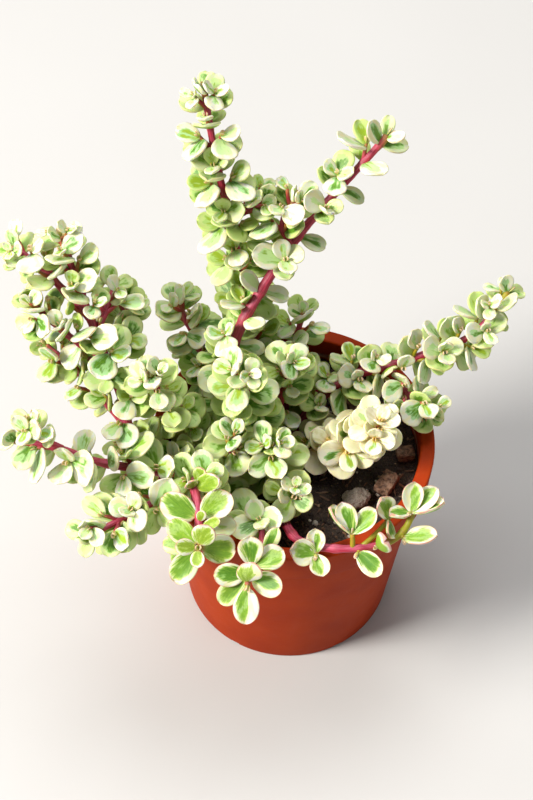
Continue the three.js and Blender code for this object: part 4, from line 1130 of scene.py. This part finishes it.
def turned(profile, segments):
    """A closed surface of revolution about Z; the profile starts and ends on the axis."""
    angle = 2 * np.pi * np.arange(segments) / segments
    r, z = profile[1:-1, 0, None], profile[1:-1, 1, None]
    rings = np.stack(np.broadcast_arrays(r * np.cos(angle), r * np.sin(angle), z), axis=-1)
    ends = [(0, 0, profile[0, 1]), (0, 0, profile[-1, 1])]
    return np.concatenate([rings.reshape(-1, 3), ends]), *skin_faces(len(r), segments)


def cylinder(radius, top, segments):
    """A cylinder about Z that starts just under the ground."""
    return turned(np.array([(0, -1), (radius, -1), (radius, top), (0, top)], float), segments)


def pot_profile():
    """From the middle of the underside over the outside and the lip to the middle of the floor."""
    inner_rim = RIM_RADIUS - RIM_WIDTH
    ring_inside = FOOT_RADIUS - FOOT_RING_WIDTH
    under_lip = POT_HEIGHT - RIM_THICKNESS
    return rounded([
        (0, 0, 0),
        (FOOT_PAD_RADIUS, 0, 0.4),
        (FOOT_PAD_RADIUS + MOULD_SLOPE, CHANNEL_HEIGHT, 0.5),
        (ring_inside - MOULD_SLOPE, CHANNEL_HEIGHT, 0.5),
        (ring_inside, 0, 0.4),
        (FOOT_RADIUS, 0, 0.9),
        *((body_radius(z), z, 0) for z in (4, 30, 60)),
        (body_radius(SKIRT_FOOT), SKIRT_FOOT, 0),
        (BODY_TOP_RADIUS, under_lip, 0.6),
        (RIM_RADIUS - WALL, under_lip, 0.6),
        (RIM_RADIUS - SKIRT_SLOPE - WALL, SKIRT_FOOT, 0.35),
        (RIM_RADIUS - SKIRT_SLOPE, SKIRT_FOOT, 0.45),
        (RIM_RADIUS, POT_HEIGHT, 1.1),
        (inner_rim, POT_HEIGHT, 1.3),
        (body_radius(SKIRT_FOOT) - WALL, SKIRT_FOOT, 0),
        (body_radius(FLOOR_TOP) - WALL, FLOOR_TOP, 1.2),
        (FOOT_PAD_RADIUS - WALL, FLOOR_TOP, 0.6),
        (FOOT_PAD_RADIUS - WALL - MOULD_SLOPE, FLOOR_THICKNESS, 0.6),
        (0, FLOOR_THICKNESS, 0),
    ])


def cut_out(piece, cutter):
    """Takes the cutter's shape out of the piece for good."""
    modifier = piece.modifiers.new("cut", "BOOLEAN")
    modifier.object = cutter
    modifier.solver = "EXACT"
    cut = bmesh.new()
    cut.from_object(piece, bpy.context.evaluated_depsgraph_get())
    bmesh.ops.dissolve_degenerate(cut, edges=cut.edges, dist=SHORTEST_EDGE * MM)
    piece.modifiers.clear()
    cut.to_mesh(piece.data)
    cut.free()
    bpy.data.objects.remove(cutter)


def drain_cutters():
    """Six drain holes, and by each of them a notch in the foot ring."""
    skin = Skin()
    hole, *hole_faces = cylinder(DRAIN_HOLE_RADIUS, 2 * FLOOR_TOP, 32)
    notch, *notch_faces = cylinder(NOTCH_WIDTH / 2 * math.sqrt(2), NOTCH_HEIGHT, 4)
    notch = notch @ turn_about_z(math.radians(45)).T
    notch[:, 0] = notch[:, 0] * 2
    for i in range(DRAIN_HOLES):
        turn = turn_about_z(2 * math.pi * i / DRAIN_HOLES)
        skin.add((hole + (DRAIN_CIRCLE_RADIUS, 0, 0)) @ turn.T, *hole_faces)
        skin.add((notch + (FOOT_RADIUS, 0, 0)) @ turn.T, *notch_faces)
    return add_object("drain_cutter", skin.mesh("drain_cutter"))


def turn_about_z(angle):
    c, s = math.cos(angle), math.sin(angle)
    return np.array([(c, -s, 0), (s, c, 0), (0, 0, 1)])


def build_pot(material):
    skin = Skin()
    skin.add(*turned(pot_profile(), POT_SEGMENTS))
    pot = skin.build("nursery_pot", material, "pot_plastic", "pot")
    cut_out(pot, drain_cutters())
    pot.data.set_sharp_from_angle(angle=SHARPEST_ROUND)


# ------------------------------------------------------------------ soil and what lies on it

SOIL_RADIUS = RIM_RADIUS - RIM_WIDTH - 0.25      # at the top, nearly touching the wall
SOIL_TO_WALL = 0.9                               # further down
SOIL_FALL = 1                                    # how much lower the soil is at the wall
SOIL_RINGS = 84
SOIL_SEGMENTS = 300
SOIL_BUMPS = 1.1                                 # height of the bumps of the first size,
CRUMBS = 0.5                                     # and of those of the second
BUMP_SIZE = 9
CRUMB_SIZE = 2.2


def lumpy(points, size, octaves=3):
    """Noise of about -1..1 at each point, for bumps of that size."""
    return np.array([
        noise.fractal(Vector(point), 0.7, 2.1, octaves, noise_basis="PERLIN_ORIGINAL")
        for point in points / size
    ])


def soil_top(x, y):
    """Height of the soil at places on it."""
    places = np.stack([x, y, np.full(len(x), 7.3)], axis=-1)
    radius = np.hypot(x, y)
    bumps = SOIL_BUMPS * lumpy(places, BUMP_SIZE) + CRUMBS * lumpy(places, CRUMB_SIZE, 2)
    bumps = bumps * smooth_step((SOIL_RADIUS + 3 - radius) / 6)
    return SOIL_HEIGHT - SOIL_FALL * radius / SOIL_RADIUS + bumps


def build_soil(material):
    radius = SOIL_RADIUS * np.linspace(1, 1 / SOIL_RINGS, SOIL_RINGS)
    pad = FOOT_PAD_RADIUS - WALL - CLEARANCE
    wall = [
        (pad - 1, FLOOR_THICKNESS + CLEARANCE),
        (pad, FLOOR_TOP + CLEARANCE),
        (body_radius(FLOOR_TOP) - WALL - SOIL_TO_WALL, FLOOR_TOP + CLEARANCE),
        (body_radius(SKIRT_FOOT) - WALL - SOIL_TO_WALL, SKIRT_FOOT),
    ]
    top = [(r, SOIL_HEIGHT) for r in radius]
    profile = np.array([(0, FLOOR_THICKNESS + CLEARANCE), *wall, *top, (0, 0)])
    points, quads, triangles = turned(profile, SOIL_SEGMENTS)
    on_top = np.r_[len(wall) * SOIL_SEGMENTS:len(points) - 2, len(points) - 1]
    points[on_top, 2] = soil_top(points[on_top, 0], points[on_top, 1])
    skin = Skin()
    skin.add(points, quads, triangles)
    skin.build("soil_surface", material, "potting_soil", "soil")


def lump(subdivisions):
    """Corners and triangles of a ball of radius one."""
    ball = bmesh.new()
    bmesh.ops.create_icosphere(ball, subdivisions=subdivisions, radius=1)
    points = np.array([vertex.co for vertex in ball.verts])
    triangles = np.array([[vertex.index for vertex in face.verts] for face in ball.faces])
    ball.free()
    return points, triangles


GRAINS = 1300

# share of the grains, smallest and largest half size, stretch, flatness, lightness
GRAIN_KINDS = (
    (0.55, 0.35, 1.1, 1.3, 0.7, 0.08),      # compost crumbs
    (0.22, 0.35, 0.7, 4.5, 0.6, 0.42),      # slivers of bark and wood
    (0.13, 0.4, 1.3, 1.2, 0.8, 0.95),       # perlite and pumice grit
    (0.10, 0.35, 0.8, 1.4, 0.8, 0.6),       # sand
)


def build_grains(material):
    """Loose grit, crumbs and slivers pressed halfway into the soil."""
    chance = np.random.default_rng(11)
    ball, triangles = lump(2)
    skin = Skin()
    kinds = chance.choice(len(GRAIN_KINDS), GRAINS, p=[kind[0] for kind in GRAIN_KINDS])
    radius = (SOIL_RADIUS - 1.6) * np.sqrt(chance.random(GRAINS))
    angle = 2 * np.pi * chance.random(GRAINS)
    x, y = radius * np.cos(angle), radius * np.sin(angle)
    for i, height in enumerate(soil_top(x, y)):
        _, low, high, stretch, flatness, light = GRAIN_KINDS[kinds[i]]
        size = between(low, high, chance.random()**1.6)
        shape = ball * chance.uniform(0.72, 1.12, (len(ball), 1)) * (stretch, 1, flatness) * size
        tilt = Euler((*chance.normal(0, 0.25, 2), chance.uniform(0, 6.3))).to_matrix()
        points = shape @ np.array(tilt).T + (x[i], y[i], height + 0.25 * size)
        tone = (light + chance.normal(0, 0.09), chance.random(), 0)
        skin.add(points, NO_QUADS, triangles, grain=np.array(tone))
    skin.build("soil_grit", material, "potting_soil", smooth=False)


# share of a box in the shape, size of the coarse bumps, stretch, size and depth of the fine ones
PUMICE_SHAPE = dict(square=0.3, coarse=3, grain=1, fine=1.2, depth=0.05)
BARK_SHAPE = dict(square=0.75, coarse=4, grain=(0.3, 1, 2.5), fine=1.5, depth=0.06)
COARSE_DEPTH = 0.16


def build_chunk(name, slot, material, shape):
    """A lump on the soil, let down until its lower part is pressed into it."""
    (x, y), size, turn = CHUNKS[name]
    points, triangles = lump(5)
    seed = 40 * (list(CHUNKS).index(name) + 1)
    half = np.array(size) / 2
    boxy = points / np.maximum(np.abs(points).max(axis=1, keepdims=True), 1e-6)
    points = points * (1 - shape["square"]) + boxy * shape["square"] * 0.85
    coarse = lumpy(points * half + seed, shape["coarse"])
    fine = lumpy(points * half * shape["grain"] + seed + 9, shape["fine"], 4)
    points = points * (1 + COARSE_DEPTH * coarse + shape["depth"] * fine)[:, None] * half
    points = points @ turn_about_z(math.radians(turn)).T
    level = float(soil_top(np.array([x]), np.array([y]))[0])
    known = np.stack([coarse, fine, points[:, 2] / half[2]], axis=-1)
    skin = Skin()
    skin.add(points + (x, y, level + half[2] * 0.78), NO_QUADS, triangles, chunk=known)
    skin.build(f"{name}_piece", material, slot, name)


def build_chunks():
    kinds = dict(pumice=(pumice_material(), PUMICE_SHAPE), bark=(bark_material(), BARK_SHAPE))
    for name in CHUNKS:
        kind = name.split("_")[0]
        build_chunk(name, kind, *kinds[kind])


# ------------------------------------------------------------------ materials

class Value:
    """A number or vector output of a shader node, with plain arithmetic."""

    def __init__(self, recipe, socket):
        self.recipe, self.socket = recipe, socket

    def _math(self, operation, a, b=0.0):
        return self.recipe.add("Math", [a, b], operation=operation)

    def __add__(self, other):
        return self._math("ADD", self, other)

    def __sub__(self, other):
        return self._math("SUBTRACT", self, other)

    def __mul__(self, other):
        return self._math("MULTIPLY", self, other)

    def __truediv__(self, other):
        return self._math("DIVIDE", self, other)

    def __rsub__(self, other):
        return self._math("SUBTRACT", other, self)

    def __abs__(self):
        return self._math("ABSOLUTE", self)

    __radd__, __rmul__ = __add__, __mul__


class Recipe:
    """A procedural material under construction."""

    def __init__(self, name, **constants):
        self.material = bpy.data.materials.new(name)
        self.material.use_nodes = True
        self.tree = self.material.node_tree
        self.shader = self.tree.nodes["Principled BSDF"]
        for socket, value in constants.items():
            self.shader.inputs[socket.replace("_", " ")].default_value = value

    def feed(self, socket, value):
        if isinstance(value, Value):
            self.tree.links.new(value.socket, socket)
        else:
            socket.default_value = value

    def add(self, kind, inputs, output=0, **settings):
        node = self.tree.nodes.new("ShaderNode" + kind)
        for setting, value in settings.items():
            setattr(node, setting, value)
        pairs = inputs.items() if isinstance(inputs, dict) else enumerate(inputs)
        for key, value in pairs:
            self.feed(node.inputs[key], value)
        return Value(self, node.outputs[output])

    def split(self, vector):
        """Its three numbers."""
        node = self.tree.nodes.new("ShaderNodeSeparateXYZ")
        self.feed(node.inputs[0], vector)
        return [Value(self, socket) for socket in node.outputs]

    def attribute(self, name):
        """Three numbers that the mesh has at each vertex."""
        return self.split(self.add("Attribute", [], "Vector", attribute_name=name))

    def place(self):
        """Where a spot is, in millimetres."""
        metres = self.add("TexCoord", [], "Object")
        return self.add("VectorMath", {0: metres, "Scale": 1 / MM}, operation="SCALE")

    def noise(self, where, scale, detail, roughness=0.5):
        inputs = {"Vector": where, "Scale": scale, "Detail": detail, "Roughness": roughness}
        return self.add("TexNoise", inputs)

    def pattern(self, x, y, z, detail, roughness=0.5):
        """Noise at a point made of three numbers."""
        return self.noise(self.add("CombineXYZ", [x, y, z]), 1, detail, roughness)

    def cells(self, where, scale):
        return self.add("TexVoronoi", {"Vector": where, "Scale": scale}, "Distance")

    def step(self, value, low, high):
        """0 below low and 1 above high, smooth between them."""
        inputs = {"Value": value, "From Min": low, "From Max": high}
        return self.add("MapRange", inputs, interpolation_type="SMOOTHSTEP")

    def mix(self, share, a, b):
        """From colour a to colour b with the share."""
        a, b = ((*colour, 1) if isinstance(colour, tuple) else colour for colour in (a, b))
        return self.add("Mix", {0: share, 6: a, 7: b}, 2, data_type="RGBA")

    def finish(self, colour, roughness, bump=None, distance=0.0):
        """The material; distance is the height in millimetres of a bump of one."""
        self.feed(self.shader.inputs["Base Color"], colour)
        self.feed(self.shader.inputs["Roughness"], roughness)
        if bump is not None:
            inputs = {"Height": bump, "Distance": distance * MM, "Strength": 1.0}
            self.feed(self.shader.inputs["Normal"], self.add("Bump", inputs))
        return self.material


# linear red, green and blue
CREAM = (0.79, 0.8, 0.655)
WARM_CREAM = (0.8, 0.755, 0.46)
SHADED_CREAM = (0.56, 0.7, 0.2)
PALE_GREEN = (0.6, 0.79, 0.36)
MINT_GREEN = (0.42, 0.68, 0.3)
YELLOW_GREEN = (0.5, 0.64, 0.12)
BRIGHT_GREEN = (0.26, 0.46, 0.035)
DEEP_GREEN = (0.085, 0.24, 0.014)
YOUNG_GREEN = (0.42, 0.55, 0.03)
FRESH_GREEN = (0.55, 0.68, 0.1)
UNDERSIDE_GREEN = (0.24, 0.4, 0.03)
PINK = (0.58, 0.1, 0.12)
FOOT_YELLOW = (0.5, 0.5, 0.12)
FOOT_BROWN = (0.5, 0.24, 0.08)
BUD_PINK = (0.72, 0.32, 0.25)
CREAM_LEAF = dict(
    cream=(0.95, 0.91, 0.7), shaded=(0.95, 0.88, 0.56), foot=(0.92, 0.45, 0.07), foot_reach=0.4,
    bud_tip=(0.95, 0.5, 0.1),
)

CRIMSON = (0.34, 0.011, 0.037)
ROSE = (0.62, 0.036, 0.082)
OLD_BARK = (0.14, 0.04, 0.035)
OLIVE = (0.27, 0.35, 0.008)
AMBER = (0.45, 0.24, 0.02)
# painted highlight on the top side of the stems
HIGHLIGHT_MAUVE = (0.55, 0.22, 0.35)
NODE_BROWN = (0.26, 0.06, 0.04)

TERRACOTTA = (0.33, 0.028, 0.0015)
LIGHT_TERRACOTTA = (0.39, 0.038, 0.002)
POT_SPECKS = (0.28, 0.05, 0.015)
POT_DUST = (0.5, 0.2, 0.09)
MINERAL_CRUST = (0.5, 0.4, 0.32)

BLACK_COMPOST = (0.012, 0.008, 0.006)
BROWN_COMPOST = (0.06, 0.034, 0.02)
DRY_COMPOST = (0.085, 0.055, 0.036)
PALE_CRUMBS = (0.3, 0.23, 0.17)

DARK_GRIT = (0.02, 0.012, 0.008)
BARK_GRIT = (0.16, 0.075, 0.035)
SAND = (0.3, 0.2, 0.12)
PERLITE = (0.62, 0.56, 0.47)
SOILED_GRIT = (0.07, 0.045, 0.03)

PUMICE = (0.3, 0.235, 0.185)
PALE_PUMICE = (0.56, 0.48, 0.4)
PUMICE_PITS = (0.12, 0.085, 0.06)
DARKER_PUMICE_BELOW = (0.05, 0.03, 0.02)

DARK_BARK = (0.06, 0.028, 0.016)
BROWN_BARK = (0.25, 0.125, 0.07)
BARK_FLAKES = (0.33, 0.2, 0.13)
DARKER_BARK_BELOW = (0.035, 0.02, 0.014)

FLOOR_GREY = (0.54, 0.53, 0.515)
PALE_FLOOR_GREY = (0.6, 0.59, 0.575)


def leaf_recipe(name):
    """What the mesh says of each leaf, and patterns in rays from the foot, which are the leaf's own."""
    m = Recipe(name, Subsurface_Weight=0.45, Subsurface_Scale=0.0014, Subsurface_Radius=(0.8, 1, 0.2))
    # share of the length, way from the midrib in lengths, distance to the edge in half widths
    m.share, m.lateral, m.edge = m.attribute("leaf_place")
    # the leaf's seed, 1 on the underside, width of the cream margin in half widths
    m.seed, m.under, m.margin = m.attribute("leaf_kind")
    # 1 on buds, on inner leaves of rosettes, on placed leaves
    m.bud, m.inner, m.placed = m.attribute("leaf_age")
    # how shaded, how cream on which side, how young
    m.shade, m.lopsided, m.youth = m.attribute("leaf_tone")
    ray = m.lateral / (m.share + 0.2)
    m.sectors = m.pattern(ray * 3, m.share * 0.8, m.seed * 61, 1)
    m.blotches = m.pattern(ray * 4.5, m.share * 2.4, m.seed * 83 + 7, 2)
    m.streaks = m.pattern(ray * 16, m.share * 1.4, m.seed * 29, 3, 0.6)
    m.veins = m.pattern(ray * 42, m.share * 5, m.seed * 47, 3, 0.65)
    m.mottle = m.pattern(m.lateral * 15, m.share * 15, m.seed * 19, 4, 0.65)
    m.blush = m.pattern(ray * 3, m.share * 2, m.seed * 13, 1)
    m.own_tint = m.pattern(m.seed * 91, 0.3, 0.7, 0)
    return m


def margin_width(m):
    """Width of the cream in half widths: wavy, less in the shade, and more on a lopsided leaf's side."""
    creamy_side = m.step(m.lateral * m.lopsided + 0.09 * (m.streaks - 0.5), -0.02, 0.12) * abs(m.lopsided)
    width = m.margin * (1 - 0.3 * m.shade) * (1 + 2.8 * (m.sectors - 0.5) + 0.9 * (m.streaks - 0.5))
    return width * m.step(m.share, 0.05, 0.45) + 0.9 * creamy_side


def pale_zone(m):
    """The colour that the cream fades into."""
    pale = m.mix(m.step(m.own_tint + 0.5 * (m.sectors - 0.5), 0.36, 0.6), PALE_GREEN, MINT_GREEN)
    pale = m.mix(m.shade * 0.6, pale, YELLOW_GREEN)
    pale = m.mix(m.placed * 0.6, pale, BRIGHT_GREEN)
    return m.mix(m.youth * 0.8, pale, FRESH_GREEN)


def green_zone(m):
    """The colour of the blotches."""
    green = m.mix(m.step(m.own_tint, 0.4, 0.6), BRIGHT_GREEN, DEEP_GREEN)
    green = m.mix(m.step(m.veins + 0.5 * (m.mottle - 0.5), 0.4, 0.7) * 0.6, green, BRIGHT_GREEN)
    return m.mix(m.inner * 0.7 + m.youth * 0.8, green, YOUNG_GREEN)


def upper_face(m, rim, reach):
    """Rim, pale zone and blotches by how far a place reaches in from the cream. Placed leaves also
    fade through yellow and have deep green rays and flecks."""
    field = m.blotches + 0.3 * (0.5 - m.share) + 0.5 * (m.own_tint - 0.5) + 0.3 * (m.streaks - 0.5)
    field = field + 0.06 * m.shade + 0.12 * m.placed
    deep = m.step(field, 0.46, 0.6) * m.step(reach + 0.2 * (m.mottle - 0.5), 0.04, 0.22)
    colour = m.mix(m.step(reach, -0.03, 0.07 + 0.08 * m.placed), rim, pale_zone(m))
    colour = m.mix(deep, colour, green_zone(m))
    feathered = reach + 0.3 * (m.mottle - 0.5) + 0.4 * (m.streaks - 0.5)
    fading = m.placed * (1 - m.step(feathered, 0, 0.36)) * m.step(reach, -0.03, 0.1)
    colour = m.mix(fading * 0.65, colour, YELLOW_GREEN)
    rays = m.step(m.streaks + 0.4 * (m.blotches - 0.5) + 0.25 * (0.45 - m.share), 0.47, 0.62)
    rays = m.placed * (rays * m.step(reach, 0.02, 0.16))
    colour = m.mix(rays * (0.5 - 0.4 * m.youth), colour, DEEP_GREEN)
    flecks = m.placed * m.step(m.mottle, 0.48, 0.62) * m.step(reach, 0.04, 0.2)
    return m.mix(flecks * 0.35, colour, DEEP_GREEN)


def leaf_material(
    name, cream=CREAM, shaded=SHADED_CREAM, foot=FOOT_YELLOW, foot_reach=0.12, bud_tip=BUD_PINK
):
    """A cream margin, a pale zone that it fades into, and green in blotches and rays from the foot."""
    m = leaf_recipe(name)
    width = margin_width(m)
    reach = m.edge - width + 0.16 * (m.veins - 0.5)
    reach = reach + m.placed * (0.85 * (m.streaks - 0.5) + 0.5 * (m.blotches - 0.5))
    rim = m.mix(m.step(m.blotches, 0.4, 0.65), cream, WARM_CREAM)
    rim = m.mix(m.shade * 0.85, rim, shaded)
    lower = m.mix(m.step(m.edge - 0.22 * width + 0.1 * (m.streaks - 0.5), 0, 0.16), rim, UNDERSIDE_GREEN)
    colour = m.mix(m.under, upper_face(m, rim, reach), lower)
    at_foot = 1 - m.step(m.share, 0.02, foot_reach)
    colour = m.mix(at_foot * 0.6, colour, m.mix(m.placed, foot, FOOT_BROWN))
    line = (1 - m.step(m.edge, 0.02, 0.075)) * m.step(m.blush + 0.14 * m.placed, 0.42, 0.58)
    line = line * m.step(m.share, 0.1, 0.3)
    colour = m.mix(line * (0.25 + 0.42 * m.placed), colour, PINK)
    colour = m.mix(m.bud * 0.6, colour, m.mix(m.step(m.share, 0.2, 0.9), foot, bud_tip))
    gloss = 0.36 + 0.2 * m.noise(m.place(), 0.5, 2)
    dimples = m.noise(m.place(), 4.5, 2) + 0.6 * m.streaks
    return m.finish(colour, gloss, dimples, 0.035)


def stem_material():
    """Crimson, with a painted mauve highlight on the upward-facing side, and green where it is young."""
    m = Recipe("crimson_stem", Subsurface_Weight=0.05, Subsurface_Scale=0.0006)
    # millimetres to the tip, nearness of a node, how far the skin faces up
    tip, node, upward = m.attribute("stem_place")
    # way about the stem, and the length of its green end
    turn_x, turn_y, green_tip = m.attribute("stem_turn")
    streaks = m.pattern(turn_x * 3, turn_y * 3, tip * 0.16, 3, 0.6)
    patches = m.noise(m.place(), 0.22, 2)
    bark = m.mix(m.step(streaks, 0.35, 0.68), CRIMSON, ROSE)
    old = m.mix(m.step(tip, 70, 120) * 0.5, bark, OLD_BARK)
    green = m.step(green_tip - tip + 12 * (patches - 0.5) - 4 * upward, -4, 8)
    colour = m.mix(green, old, m.mix(m.step(streaks, 0.3, 0.7), OLIVE, AMBER))
    # painted highlight: the skin that faces up, towards the light, turns mauve
    top_highlight = m.step(upward + 1.4 * (patches - 0.5), 0.2, 1.1) * m.step(streaks, 0.25, 0.65)
    colour = m.mix(top_highlight * (1 - green) * 0.4, colour, HIGHLIGHT_MAUVE)
    colour = m.mix(m.step(node, 0.75, 1) * 0.35, colour, NODE_BROWN)
    return m.finish(colour, 0.4 + 0.2 * streaks, streaks + 0.5 * m.noise(m.place(), 2.2, 3), 0.14)


def pot_material():
    """Satin terracotta-coloured plastic, a little dusty, with a mineral line at the soil."""
    m = Recipe("terracotta_plastic", Specular_IOR_Level=0.11)
    where = m.place()
    x, y, z = m.split(where)
    clouds = m.noise(where, 0.05, 4)
    specks = m.noise(where, 1.7, 2)
    dust = m.noise(where, 0.16, 5, 0.65)
    colour = m.mix(m.step(clouds, 0.3, 0.7), TERRACOTTA, LIGHT_TERRACOTTA)
    colour = m.mix(m.step(specks, 0.6, 0.72) * 0.12, colour, POT_SPECKS)
    colour = m.mix(m.step(dust, 0.52, 0.8) * 0.06, colour, POT_DUST)
    radius = m.add("Math", [x * x + y * y, 0.5], operation="POWER")
    inner_rim = RIM_RADIUS - RIM_WIDTH
    inside = 1 - m.step(radius, inner_rim - 0.2, inner_rim + 0.6)
    off_line = abs(z - SOIL_HEIGHT - 1.2 - 2 * (dust - 0.5))
    line = inside * (1 - m.step(off_line, 0.3, 2.2)) * m.step(dust, 0.35, 0.6)
    colour = m.mix(line * 0.55, colour, MINERAL_CRUST)
    scuffs = m.pattern(x * 0.2, y * 0.2, z * 2.6, 3)
    grain = m.noise(where, 5.5, 2) + 0.35 * scuffs
    return m.finish(colour, 0.46 + 0.24 * dust + 0.08 * scuffs, grain, 0.03)


def soil_material():
    """Nearly black compost with brown crumbs."""
    m = Recipe("potting_mix")
    where = m.place()
    crumbs = m.cells(where, 0.9)
    fine = m.noise(where, 1.4, 5, 0.7)
    damp = m.noise(where, 0.07, 3)
    colour = m.mix(m.step(fine, 0.35, 0.7), BLACK_COMPOST, BROWN_COMPOST)
    colour = m.mix(m.step(damp, 0.45, 0.7) * 0.5, colour, DRY_COMPOST)
    colour = m.mix(m.step(m.noise(where, 2.8, 1), 0.66, 0.74) * 0.6, colour, PALE_CRUMBS)
    return m.finish(colour, 0.85 + 0.1 * fine, fine + 0.7 * crumbs, 0.9)


def grit_material():
    """Crumbs, bark slivers, sand and perlite, told apart by each grain's own lightness."""
    m = Recipe("soil_grit")
    light, variety, _ = m.attribute("grain")
    where = m.place()
    fine = m.noise(where, 2.6, 3, 0.65)
    colour = m.mix(m.step(light, 0.12, 0.38), DARK_GRIT, BARK_GRIT)
    colour = m.mix(m.step(light, 0.48, 0.62), colour, SAND)
    colour = m.mix(m.step(light, 0.74, 0.9), colour, PERLITE)
    colour = m.mix(m.step(variety + 0.6 * (fine - 0.5), 0.3, 0.8) * 0.45, colour, SOILED_GRIT)
    return m.finish(colour, 0.78 + 0.15 * fine, fine, 0.3)


def pumice_material():
    """Pale grey, with dark pits, and darker towards the ground."""
    m = Recipe("pumice")
    _, fine, height = m.attribute("chunk")
    where = m.place()
    pits = m.cells(where, 1.1)
    grain = m.noise(where, 2.4, 4, 0.7)
    colour = m.mix(m.step(grain, 0.3, 0.7), PUMICE, PALE_PUMICE)
    colour = m.mix((1 - m.step(pits, 0.08, 0.3)) * 0.6, colour, PUMICE_PITS)
    # darker towards the ground, by height
    colour = m.mix(1 - m.step(height + 0.8 * (grain - 0.5), -0.6, 0.1), colour, DARKER_PUMICE_BELOW)
    return m.finish(colour, 0.9 + 0.08 * fine, grain + 0.8 * m.step(pits, 0.05, 0.35), 0.5)


def bark_material():
    """Brown fibres and paler flakes, darker towards the ground."""
    m = Recipe("bark")
    _, fine, height = m.attribute("chunk")
    where = m.place()
    x, y, z = m.split(where)
    fibres = m.pattern(x * 0.35, y * 0.35, z * 3.2, 4, 0.65)
    flakes = m.noise(where, 0.5, 3)
    colour = m.mix(m.step(fibres, 0.35, 0.65), DARK_BARK, BROWN_BARK)
    colour = m.mix(m.step(flakes, 0.5, 0.68) * 0.6, colour, BARK_FLAKES)
    # darker towards the ground, by height
    colour = m.mix(1 - m.step(height + 0.8 * (flakes - 0.5), -0.7, 0), colour, DARKER_BARK_BELOW)
    return m.finish(colour, 0.8 + 0.12 * fine, fibres + 0.6 * flakes, 0.5)


def floor_material():
    m = Recipe("pale_floor")
    cloud = m.noise(m.place(), 0.004, 3)
    colour = m.mix(cloud, FLOOR_GREY, PALE_FLOOR_GREY)
    return m.finish(colour, 0.75 + 0.1 * cloud)


# ------------------------------------------------------------------ floor, light and camera

FLOOR_REACH = 40                 # metres, so that no view shows its edge

LIGHTS_AIM = (-0.01, 0, 0.12)
# name, place, size, watts and colour of the soft lights
LIGHTS = (
    ("key", (-2.1, -0.8, 2.0), 0.95, 128, (1, 0.975, 0.93)),
    ("fill", (2, -1.4, 1.5), 2, 5, (0.97, 0.98, 1)),
    ("top", (-0.2, 0.9, 2.8), 1.8, 50, (1, 1, 1)),
)
WORLD_COLOUR = (0.78, 0.79, 0.8, 1)
WORLD_STRENGTH = 0.28


def build_floor(material):
    mesh = bpy.data.meshes.new("floor")
    corners = [(x * FLOOR_REACH, y * FLOOR_REACH, 0) for x, y in ((-1, -1), (1, -1), (1, 1), (-1, 1))]
    mesh.from_pydata(corners, [], [(0, 1, 2, 3)])
    mesh.materials.append(material)
    floor = add_object("floor", mesh)


def add_light(name, place, size, watts, colour):
    data = bpy.data.lights.new(name, "AREA")
    data.shape = "DISK"
    data.size, data.energy, data.color = size, watts, colour
    light = add_object(name, data)
    light.location = place
    light.rotation_euler = (Vector(LIGHTS_AIM) - Vector(place)).to_track_quat("-Z", "Y").to_euler()


def light_scene():
    for light in LIGHTS:
        add_light(*light)
    world = bpy.data.worlds.new("studio")
    world.use_nodes = True
    background = world.node_tree.nodes["Background"]
    background.inputs["Color"].default_value = WORLD_COLOUR
    background.inputs["Strength"].default_value = WORLD_STRENGTH
    bpy.context.scene.world = world
    bpy.context.scene.view_settings.view_transform = "Standard"


# The photo's view, in millimetres and degrees: the camera looks along a line that passes to the left
# of the rim's middle and above it.
VIEW_ELEVATION = math.radians(54.2)
VIEW_ROLL = math.radians(1.4)
VIEW_DISTANCE = 798
RIM_RIGHT_OF_AXIS = 11.3
RIM_BELOW_AXIS = 16.0
LENS = 85
SENSOR_WIDTH = 36


def place_camera():
    forward = np.array((0, math.cos(VIEW_ELEVATION), -math.sin(VIEW_ELEVATION)))
    level = np.array((1.0, 0, 0))
    upright = np.cross(level, forward)
    right, up = rotated(level, upright, VIEW_ROLL)
    rim = np.array((0, 0, POT_HEIGHT))
    place = rim - RIM_RIGHT_OF_AXIS * right + RIM_BELOW_AXIS * up - VIEW_DISTANCE * forward
    data = bpy.data.cameras.new("camera")
    data.lens, data.sensor_width = LENS, SENSOR_WIDTH
    data.clip_start, data.clip_end = 0.01, 100
    camera = add_object("camera", data)
    camera.matrix_world = Matrix([*zip(right, up, -forward, place * MM), (0, 0, 0, 1)])
    bpy.context.scene.camera = camera


# ------------------------------------------------------------------ the whole plant

def build_plant():
    green_leaf = leaf_material("variegated_leaf")
    cream_leaf = leaf_material("cream_leaf", **CREAM_LEAF)
    stem_skin = stem_material()
    crown = Crown(grow_stems())
    for stem in crown.stems:
        slot = "cream_shoot" if stem.name == "shoot_cream" else "stem_and_leaves"
        leaf_skin = cream_leaf if stem.name == "shoot_cream" else green_leaf
        own = [leaf for leaf in crown.leaves if leaf.stem is stem]
        twigs = [twig for twig in crown.twigs + crown.sprigs if twig.stem is stem]
        build_stem(stem, twigs, stem_skin, slot)
        grown = [leaf for leaf in own if leaf.rank != PLACED]
        build_leaves(f"{stem.name}_leaves", grown, leaf_skin, slot)
        for leaf in own:
            if leaf.rank == PLACED:
                build_leaves(f"{leaf.group}_blade", [leaf], green_leaf, "leaf", leaf.group)


build_pot(pot_material())
build_soil(soil_material())
build_grains(grit_material())
build_chunks()
build_plant()
build_floor(floor_material())
light_scene()
place_camera()
